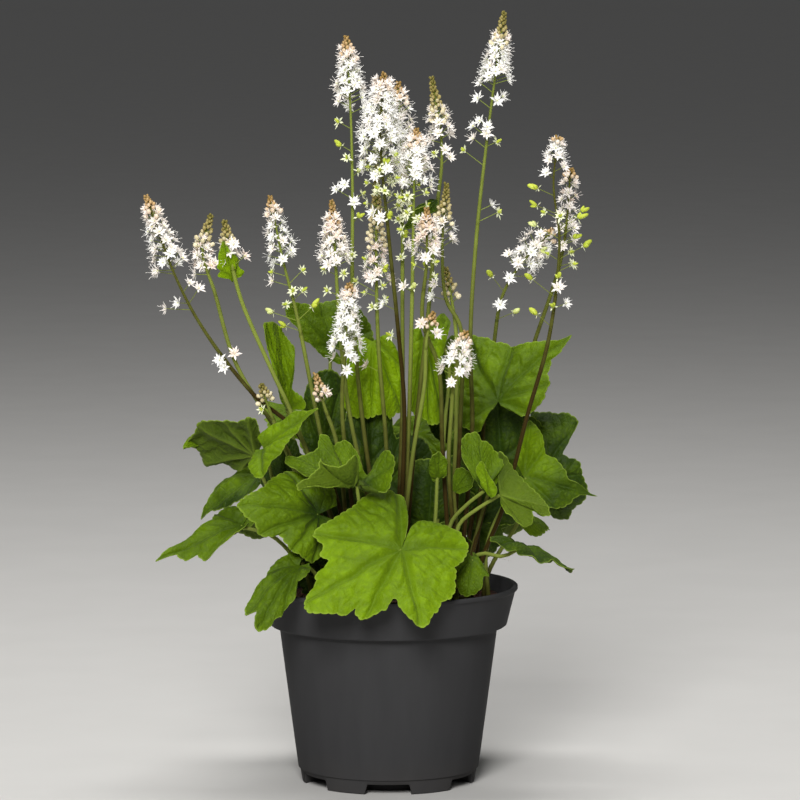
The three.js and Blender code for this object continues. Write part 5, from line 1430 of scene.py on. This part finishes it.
# heads: kind, first and last share of the stem, how many, longest stalk in millimetres
SPRAYS = (
    dict(name="left_outer", crown="left", tip=PEACH, bare=0.62, cone=0.945, blush=0.15, tone=0.72,
         heads=((OPEN, 0.83, 0.966, 36, 8),),
         lone=((OPEN, 0.586, -122), (OPEN, 0.605, -116), (OPEN, 0.739, -180, 12.6), (OPEN, 0.753, 0, 9.3),
               (OPEN, 0.755, -151), (OPEN, 0.781, 0, 5.6), (OPEN, 0.825, -180, 9.4)),
         path=[(-24, -4, 112), (-45, 0, 175), (-67, -2, 195), (-92, -4, 228), (-106, -6, 255),
               (-120, -6, 294)]),
    dict(name="left_behind", crown="left", tip=OLIVE, bare=0.8, cone=0.915, blush=0.5, tone=0.25,
         heads=((OPEN, 0.853, 0.94, 18, 6),), lone=((OPEN, 0.638, -70), (OPEN, 0.857, -48)),
         path=[(-25, -1, 112), (-54, 8, 172), (-77, 20, 209), (-88, 28, 245), (-94, 32, 264),
               (-90, 34, 282)]),
    dict(name="left_leafy", crown="left", tip=OLIVE, bare=0.88, cone=0.925, blush=0.4, tone=0,
         heads=((OPEN, 0.9, 0.945, 7, 5),), lone=((OPEN, 0.889, 0, 7.9), (OPEN, 0.933, -55)),
         path=[(-22, -7, 112), (-49, -8, 188), (-58, -9, 208), (-73, -10, 243), (-78, -12, 263),
               (-81, -14, 282)]),
    dict(name="left_inner", crown="left", tip=PEACH, bare=0.66, cone=0.945, blush=0.1, tone=0.15,
         heads=((OPEN, 0.83, 0.968, 25, 7.5),),
         lone=((POD, 0.669, -180, 7.5), (POD, 0.694, -180, 13.2), (POD, 0.696, 0, 9.5),
               (SET, 0.727, -141), (SET, 0.746, 0, 6.4), (SET, 0.755, -77), (OPEN, 0.782, -180, 8.6),
               (SET, 0.787, 0, 9.3), (SET, 0.806, -180, 7.2)),
         path=[(-19, -1, 112), (-32, 4, 165), (-39, 6, 200), (-46, 8, 235), (-53, 8, 263),
               (-59, 8, 293)]),
    dict(name="left_budding", crown="left", tip=OLIVE, bare=0.84, cone=0.9, blush=0.3, tone=0.3,
         lone=((SET, 0.885, -150, 4),),
         path=[(-26, -6, 108), (-50, -7, 165), (-59, -11, 188), (-63, -15, 201)]),
    dict(name="left_small", crown="left", tip=PEACH, bare=0.82, cone=0.87, blush=0.7, tone=0.4,
         lone=((OPEN, 0.91, -30, 3),),
         path=[(-20, -8, 110), (-26, -6, 172), (-32, -5, 190), (-36, -4, 205)]),
    dict(name="front_low", crown="left", tip=PEACH, bare=0.72, cone=0.948, blush=0.05, tone=0.5,
         heads=((OPEN, 0.78, 0.975, 46, 7), (OPEN, 0.727, 0.78, 4, 6)),
         path=[(-16, -8, 112), (-23, -16, 189), (-21, -26, 223), (-19, -32, 252)]),
    dict(name="middle_left", crown="middle", tip=PEACH, bare=0.76, cone=0.9, blush=0.4, tone=0.05,
         heads=((OPEN, 0.835, 0.96, 36, 7),),
         lone=((SET, 0.771, -166), (SET, 0.814, -43), (SET, 0.821, -180, 6.4)),
         path=[(-3, -6, 112), (-20, -8, 190), (-25, -8, 242), (-26, -10, 259), (-28, -12, 292)]),
    dict(name="tall_left", crown="middle", tip=PEACH, bare=0.6, cone=0.955, blush=0.1, tone=0,
         heads=((OPEN, 0.885, 0.975, 38, 7), (OPEN, 0.862, 0.885, 3, 8)),
         lone=((SET, 0.605, -91), (POD, 0.673, -55), (OPEN, 0.698, -81), (SET, 0.714, 0),
               (OPEN, 0.716, -180, 9.1), (OPEN, 0.73, -142), (POD, 0.754, -52), (SET, 0.778, -121),
               (POD, 0.8, 180, 6), (SET, 0.84, 180, 7)),
         path=[(-3, 2, 112), (-14, 8, 190), (-18, 14, 244), (-18, 20, 292), (-19, 24, 336),
               (-21, 26, 372)]),
    dict(name="tall_middle", crown="middle", tip=PEACH, bare=0.63, cone=0.959, blush=0.05, tone=0.75,
         heads=((OPEN, 0.868, 0.982, 72, 10), (OPEN, 0.8, 0.868, 18, 9.5), (SET, 0.74, 0.85, 14, 9)),
         lone=((OPEN, 0.557, -180, 6.6), (SET, 0.631, -180, 14.3), (OPEN, 0.725, -129), (POD, 0.725, -76),
               (OPEN, 0.73, -180, 7.7), (SET, 0.782, -127), (SET, 0.817, -180, 7),
               (OPEN, 0.821, -180, 9.5), (POD, 0.828, -68), (SET, 0.849, -180, 8.4)),
         path=[(5, -4, 115), (8, -6, 187), (5, -10, 227), (0, -14, 278), (-4, -17, 326), (-2, -18, 355)]),
    dict(name="tall_behind", crown="middle", tip=PEACH, bare=0.65, cone=0.955, blush=0.2, tone=0.1,
         heads=((OPEN, 0.885, 0.98, 22, 7), (OPEN, 0.82, 0.885, 10, 7), (SET, 0.72, 0.85, 10, 8)),
         lone=((SET, 0.5, -180, 6.8), (SET, 0.653, -99), (OPEN, 0.677, -54), (POD, 0.694, -75),
               (SET, 0.727, -111), (SET, 0.754, -110), (OPEN, 0.799, -82)),
         path=[(4, 3, 112), (7, 10, 190), (7, 15, 237), (7, 20, 279), (6, 22, 324), (5, 22, 349)]),
    dict(name="middle_bright", crown="middle", tip=PEACH, bare=0.66, cone=0.955, blush=0.1, tone=0,
         heads=((OPEN, 0.9, 0.98, 38, 8), (OPEN, 0.87, 0.9, 6, 8), (SET, 0.76, 0.87, 8, 8)),
         lone=((OPEN, 0.66, -152), (POD, 0.66, -86), (SET, 0.804, -62), (SET, 0.852, -128),
               (OPEN, 0.884, -35)),
         path=[(7, -1, 112), (10, -2, 175), (11, -3, 210), (12, -4, 252), (13, -4, 307), (14, -4, 327)]),
    dict(name="middle_small", crown="middle", tip=PEACH, bare=0.88, cone=0.935, blush=0.5, tone=0.1,
         lone=((OPEN, 0.925, -34), (OPEN, 0.945, -149)),
         path=[(6, -7, 110), (12, -14, 165), (18, -22, 203), (19, -28, 226), (22, -30, 238)]),
    dict(name="middle_budding", crown="middle", tip=OLIVE, bare=0.64, cone=0.8, blush=0.6, tone=0.15,
         heads=((OPEN, 0.73, 0.833, 18, 6), (SET, 0.66, 0.73, 4, 5)),
         lone=((OPEN, 0.528, -180, 7.5), (SET, 0.711, -180, 11.4), (OPEN, 0.719, 0, 7.9),
               (OPEN, 0.736, -132), (POD, 0.748, -45)),
         path=[(0, 4, 110), (-1, 5, 167), (-5, 9, 219), (-6, 12, 251), (-6, 14, 308)]),
    dict(name="behind_right", crown="middle", tip=OLIVE, bare=0.76, cone=0.905, blush=0.3, tone=0.2,
         heads=((OPEN, 0.875, 0.937, 14, 7),),
         lone=((POD, 0.622, -125), (OPEN, 0.638, -180, 7), (POD, 0.659, -113), (OPEN, 0.835, -42),
               (SET, 0.841, -139), (OPEN, 0.848, -72)),
         path=[(8, 3, 112), (14, 11, 180), (20, 14, 235), (24, 24, 283), (27, 36, 316), (22, 42, 351)]),
    dict(name="right_olive", crown="right", tip=OLIVE, bare=0.72, cone=0.9, blush=0.2, tone=0.4,
         heads=((OPEN, 0.84, 0.915, 12, 8),), lone=((OPEN, 0.728, -180, 6.9), (OPEN, 0.756, -153)),
         path=[(33, -2, 112), (36, 1, 180), (36, 4, 229), (29, 7, 242), (27, 8, 269), (29, 8, 299)]),
    dict(name="front_peach", crown="right", tip=PEACH, bare=0.8, cone=0.93, blush=0.6, tone=0.45,
         heads=((OPEN, 0.875, 0.975, 20, 6.5), (SET, 0.82, 0.875, 3, 6)),
         path=[(31, -8, 112), (27, -9, 170), (25, -13, 210), (17, -19, 234), (19, -24, 264),
               (19, -26, 289)]),
    dict(name="right_tall", crown="right", tip=OLIVE, bare=0.64, cone=0.935, blush=0.05, tone=0.2,
         heads=((OPEN, 0.878, 0.958, 40, 7.5),),
         lone=((SET, 0.645, 0, 11.1), (OPEN, 0.664, 0, 6.5), (SET, 0.741, -180, 12.2),
               (OPEN, 0.771, -180, 7.7), (SET, 0.774, 0, 5.7), (OPEN, 0.785, -99),
               (OPEN, 0.79, -180, 8.7), (OPEN, 0.796, -98), (OPEN, 0.806, -173), (OPEN, 0.839, -180, 8.2),
               (OPEN, 0.843, -59), (OPEN, 0.852, 0, 5.6), (OPEN, 0.866, -180, 7.8)),
         path=[(37, 0, 112), (42, 2, 176), (41, 5, 221), (44, 16, 271), (51, 26, 333), (58, 30, 384)]),
    dict(name="right_outer", crown="right", tip=PEACH, bare=0.6, cone=0.985, blush=0.1, tone=0.75,
         heads=((OPEN, 0.95, 0.99, 13, 5),),
         lone=((POD, 0.61, -180, 9.1), (POD, 0.639, -100), (OPEN, 0.648, 0, 6.1),
               (POD, 0.671, -180, 14.5), (OPEN, 0.68, -83), (POD, 0.701, -91), (SET, 0.725, 0, 8.3),
               (POD, 0.751, 0, 13.6), (POD, 0.779, 0, 7.8), (POD, 0.793, -180, 13.2),
               (OPEN, 0.797, 0, 8.2), (POD, 0.809, 0, 11.2), (POD, 0.816, 0, 13.6), (SET, 0.827, -77),
               (SET, 0.837, -180, 6.8), (POD, 0.845, -180, 10.7), (POD, 0.883, -180, 9),
               (OPEN, 0.919, -139), (OPEN, 0.933, -29)),
         path=[(48, -7, 116), (57, -12, 139), (69, -16, 186), (80, -14, 226), (85, -10, 273),
               (82, -8, 301), (84, -8, 323)]),
    dict(name="right_outer_behind", crown="right", tip=PEACH, bare=0.76, cone=0.97, blush=0.4, tone=0.6,
         heads=((OPEN, 0.83, 0.985, 24, 6), (SET, 0.78, 0.83, 3, 6)),
         path=[(42, 6, 112), (58, 48, 165), (74, 54, 215), (88, 42, 262), (92, 34, 305)]),
    dict(name="right_near", crown="right", tip=PEACH, bare=0.78, cone=0.945, blush=0.15, tone=0.35,
         heads=((OPEN, 0.85, 0.965, 24, 7), (OPEN, 0.81, 0.85, 3, 6)),
         path=[(34, -9, 112), (30, -20, 160), (31, -25, 185), (33, -32, 210), (38, -34, 229)]),
    dict(name="right_spreading", crown="right", tip=PEACH, bare=0.74, cone=0.975, blush=0.15, tone=0.5,
         heads=((OPEN, 0.88, 0.965, 20, 6.5),),
         lone=((POD, 0.745, 0, 8.8), (OPEN, 0.775, -92), (POD, 0.815, -180, 10), (OPEN, 0.842, -104),
               (OPEN, 0.859, 0, 7.4), (OPEN, 0.874, -180, 8.9), (OPEN, 0.877, -113), (POD, 0.936, -47)),
         path=[(39, 6, 112), (50, 58, 170), (54, 58, 216), (58, 54, 240), (67, 52, 256), (83, 54, 273)]),
    dict(name="right_budding", crown="right", tip=OLIVE, bare=0.84, cone=0.89, blush=0.1, tone=0.05,
         spacing=0.6, path=[(32, 1, 110), (34, 6, 180), (34, 12, 225), (32, 18, 240), (29, 24, 256)]),
)
print("flower stems:", len(SPRAYS))

# %% Racemes
STEM_RADIUS = 1.0
BUD_SPACING = 0.45
GOLDEN_ANGLE = 2.39996
LONE_LIFT = 0.6
LONE_STALK = 5.5
STEM_TAPER = 0.62
STALK_TAPER = 0.62


def spray_route(spray):
    """The stem leaves its crown between the crown's middle and the first place of its path"""
    (x, y), _ = CROWNS[spray["crown"]]
    low_x, low_y, _ = spray["path"][0]
    foot = (x + (low_x - x) * 0.4, y + (low_y - y) * 0.4, SOIL_TOP - 1)
    return Route([foot, *spray["path"]])


def nearest_key(table, value):
    return table[min(table, key=lambda key: abs(key - value))]


def outward(route, share, turn, lift):
    """Away from the stem at a turn round it (0 is right, in radians), and up along it by lift"""
    ahead = route.along(share)
    side = Vector((math.cos(turn), math.sin(turn), 0))
    side = (side - ahead * side.dot(ahead)).normalized()
    return (side + ahead * lift).normalized()


def flower_shape(kind, blush, ripeness, draw):
    if kind == SET:
        return draw.choice(set_florets)
    if kind == POD:
        return draw.choice(capsules)
    if ripeness > 0.85:
        return draw.choice(young_florets)
    return draw.choice(nearest_key(florets, blush + draw.uniform(-0.1, 0.15)))


def make_raceme(spray, seed):
    draw = random.Random(seed)
    route = spray_route(spray)
    start = spray["bare"]
    span = route.length * (1 - start)
    bm = new_bmesh()
    steps = max(6, round(span / STEM_STEP))
    shares = [start - 0.5 / route.length + (1 - start) * step / steps for step in range(steps + 1)]
    radii = [STEM_RADIUS * (1 - STEM_TAPER * step / steps) for step in range(steps + 1)]
    tube(bm, [route.at(share) for share in shares], radii, spray["tone"], STEM, sides=7)
    copies = hairs_along(route, start, spray["cone"] - 0.06, draw)
    stalk = nearest_key(stalks, spray["tone"] * 0.6)

    def add_flower(shape, share, turn, length, lift, size, facing=Vector()):
        """One flower on its stalk. It looks along the stalk, and partly the way it is told to"""
        foot = route.at(share)
        direction = outward(route, share, turn, lift)
        looks = (direction + facing).normalized()
        copies.append((stalk, placed(foot, direction, 0, 1, length + 0.3)))
        copies.append((shape, placed(foot + direction * length, looks, draw.random() * 6, size)))

    turn = draw.random() * 6
    for kind, low, high, count, longest in spray.get("heads", ()):
        for index in range(count):
            rise = (index + 0.2 + 0.6 * draw.random()) / count
            share = low + (high - low) * rise
            ripeness = rise if high > spray["cone"] else 0
            shape = flower_shape(kind, spray["blush"] * (0.6 + 0.8 * rise), ripeness, draw)
            length = longest * (1 - STALK_TAPER * ripeness ** 1.2) + draw.uniform(-1.2, 0.8)
            size = draw.uniform(0.82, 1.0) * (1 - 0.1 * ripeness)
            add_flower(shape, share, turn, max(length, 1), 0.35 + 0.6 * ripeness, size)
            turn += GOLDEN_ANGLE + draw.uniform(-0.3, 0.3)
    for row in spray.get("lone", ()):
        kind, share, side, length = (*row, LONE_STALK)[:4]
        shape = flower_shape(kind, spray["blush"], 0, draw)
        to_front = Vector((0, -1, 0.1)) * draw.uniform(0.2, 0.9)
        if kind == POD:
            to_front *= 0.25
        add_flower(shape, share, math.radians(side), length, LONE_LIFT, draw.uniform(0.88, 1.02), to_front)
    cone = spray["cone"]
    count = round(route.length * (1 - cone) / spray.get("spacing", BUD_SPACING))
    for index in range(count):
        rise = ((index + 0.5) / count) ** 0.8
        ripe = min(6, max(0, round(6.5 * (1 - rise) + draw.uniform(-1, 0.8))))
        size = 0.7 + 0.68 * (1 - rise) ** 1.2 + draw.uniform(-0.1, 0.12)
        length = 0.7 + 3.1 * (1 - rise) ** 1.3 + draw.uniform(-0.2, 0.6)
        shape = bud_shapes[spray["tip"]][ripe]
        add_flower(shape, cone + (1 - cone) * rise, turn, length, 0.4 + 1.5 * rise, size)
        turn += GOLDEN_ANGLE + draw.uniform(-0.2, 0.2)
    return to_piece(to_mesh(bm, "flowers_" + spray["name"], FLOWER_PARTS), copies)


for seed, spray in enumerate(SPRAYS):
    name = "raceme_" + spray["name"]
    triangles[name] = tie(make_raceme(spray, seed + 40), name)
print("racemes:", sum(count for name, count in triangles.items() if name.startswith("raceme")))

# %% [markdown]
# ## The crowns
# The top of a rhizome is a brown scaly knob just above the peat. The stems leave it close
# together, so the knob and its stems are one piece. Low down the stems are browner, partly
# their own colour and partly painted shade. Young leaves stand in the shade between the
# stems, their dark green painted shade, and two of the stems carry a small leaf. Their rows
# read as those of the leaves.

# %% The table of young leaves
# Their low tones are painted shade: these leaves stand deep in the foliage and get the darkest green
SHADE_LEAVES = (
    dict(crown="left", base=(-11, 24, 138), tip=(-10, 31, 190), face=(-0.1, -0.9, 0.3), bend=(20, 0, 10),
         width=0.62, tone=0.03),
    dict(crown="left", base=(-34, -14, 110), tip=(-38, -22, 122), face=(-0.1, -0.9, 0.5),
         bend=(20, 0, 10), tone=0.1),
    dict(crown="right", base=(32.7, -17, 148.2), tip=(38, -21, 161), face=(0, -0.9, 0.4), bend=(10, 0, 0),
         tone=0.3, span=(-100, 100), veins=(-40, 0, 40),
         rim=((31.7, -17, 150.2), (32.2, -18, 155.3), (33.1, -19, 159.5), (35.6, -20, 161.1),
              (38.6, -21, 160.2), (41.1, -22, 157.8), (42.5, -23, 154.4), (41.5, -23, 151.4),
              (38.6, -22, 149.3), (35.1, -20, 147.6))),
    dict(crown="left", base=(-28, 18, 126), tip=(-40, 20, 152), face=(-0.2, -0.9, 0.4), bend=(20, 0, 10),
         tone=0.05),
    dict(crown="left", base=(-50, 8, 146), tip=(-53, 10, 173), face=(-0.1, -0.9, 0.3), bend=(20, 0, 10),
         width=0.7, tone=0.02),
    dict(crown="left", base=(-34, 10, 97), tip=(-38, 12, 124), face=(-0.1, -0.9, 0.3), bend=(20, 0, 10),
         width=0.7, tone=0.02),
    dict(crown="middle", base=(20, 22, 124), tip=(22, 27, 160), face=(0.1, -0.9, 0.3), bend=(20, 10, 0),
         tone=0.05),
    dict(crown="middle", base=(6, 33, 128), tip=(5, 38, 172), face=(-0.1, -0.9, 0.3), bend=(25, 0, 10),
         tone=0),
    dict(crown="middle", base=(-2, 24, 114), tip=(-6, 20, 140), face=(0, -0.9, 0.4), bend=(20, 0, 10),
         tone=0.1),
    dict(crown="right", base=(39, 28, 126), tip=(42, 33, 162), face=(0.1, -0.9, 0.3), bend=(20, 0, 10),
         tone=0.05),
    dict(crown="right", base=(57, 38, 158), tip=(55, 42, 192), face=(0.1, -0.9, 0.3), bend=(20, 0, 10),
         tone=0.05),
    dict(crown="right", base=(27, 10, 108), tip=(24, 4, 130), face=(0, -0.9, 0.4), bend=(20, 0, 10),
         tone=0.1),
)
STEM_LEAVES = (
    dict(crown="left", base=(-76, -10, 253.5), tip=(-81.8, -18, 273.5), face=(0.2, -0.9, 0.4),
         bend=(12, 0, 20), tone=0.95, curl=0.8, tooth=0.3, ray=0.6, veins=(-32, 0, 35),
         edge=((-93, 4), (-93, 17), (-76, 28), (-38, 31), (-32, 44), (-18, 59), (-8, 71), (-3, 92),
               (1, 103), (8, 90), (17, 75), (23, 63), (35, 56), (36, 44), (54, 47), (58, 19), (123, 6))),
    dict(crown="middle", base=(24.9, 19, 291.9), tip=(8.3, 14, 278.2), face=(0.2, -0.9, 0.4),
         bend=(12, 0, 20), tone=0.2, curl=0.8, tooth=0.3, ray=0.6, veins=(-24, 0, 20),
         edge=((-47, 4), (-47, 18), (-24, 33), (-20, 54), (-10, 75), (-4, 87), (1, 106), (8, 91), (9, 65),
               (18, 44), (35, 29), (41, 17), (48, 5))),
)
print("young leaves:", len(SHADE_LEAVES), "stem leaves:", len(STEM_LEAVES))

# %% Every crown
SHADED_SHARE = 0.62
SHADED_BROWN = 1.35


def make_crown(name, seed):
    (x, y), radius = CROWNS[name]
    draw = random.Random(seed)
    bm = new_bmesh()
    layer = bm.verts.layers.float["tone"]
    knob = bmesh.ops.create_uvsphere(bm, u_segments=28, v_segments=18, radius=radius)["verts"]
    for vert in knob:
        scales = math.sin(vert.co.z * 3 + 2 * math.atan2(vert.co.y, vert.co.x))
        swell = 1 + 0.1 * noise.noise(vert.co * 0.6) + 0.05 * scales
        vert.co = Vector((vert.co.x, vert.co.y * 0.85, vert.co.z * 0.55)) * swell + Vector((x, y, SOIL_TOP))
        vert[layer] = 1
    for face in {face for vert in knob for face in vert.link_faces}:
        face.smooth = True
        face.material_index = PETIOLE
    copies = []
    for spray in SPRAYS:
        if spray["crown"] != name:
            continue
        route = spray_route(spray)
        high = spray["bare"]
        steps = round(route.length * high / STEM_STEP)
        shares = [high * step / steps for step in range(steps + 1)]
        radii = [STEM_RADIUS * (1.15 - 0.15 * step / steps) for step in range(steps + 1)]
        # Painted shade as well as their own brown: the stems get browner towards the foot, deep in the
        # foliage
        tones = [spray["tone"] + SHADED_BROWN * max(0, 1 - share / SHADED_SHARE) for share in shares]
        tube(bm, [route.at(share) for share in shares], radii, tones, PETIOLE)
        copies += hairs_along(route, 0.05, high, draw)
    for number, leaf in enumerate(SHADE_LEAVES):
        if leaf["crown"] != name:
            continue
        end = add_blade(bm, leaf, seed + number)
        foot = Vector((x, y, SOIL_TOP)) + (end - Vector((x, y, SOIL_TOP))).normalized() * radius * 0.3
        route = Route([foot, foot.lerp(end, 0.4) + Vector((0, 0, 4)), end])
        points = [route.at(step / 8) for step in range(9)]
        tube(bm, points, [0.9] * len(points), 0.7, PETIOLE, sides=7)
    for number, leaf in enumerate(STEM_LEAVES):
        if leaf["crown"] == name:
            add_blade(bm, leaf, seed + number)
    return to_piece(to_mesh(bm, "stems_" + name, [upper_skin, under_skin, stem_skin]), copies)


for seed, name in enumerate(CROWNS):
    triangles["crown_" + name] = tie(make_crown(name, seed + 90), "crown_" + name)
print("crowns:", sum(count for name, count in triangles.items() if name.startswith("crown")))
print("largest piece:", max(triangles, key=triangles.get), max(triangles.values()))
print("whole plant:", sum(triangles.values()), "triangles")
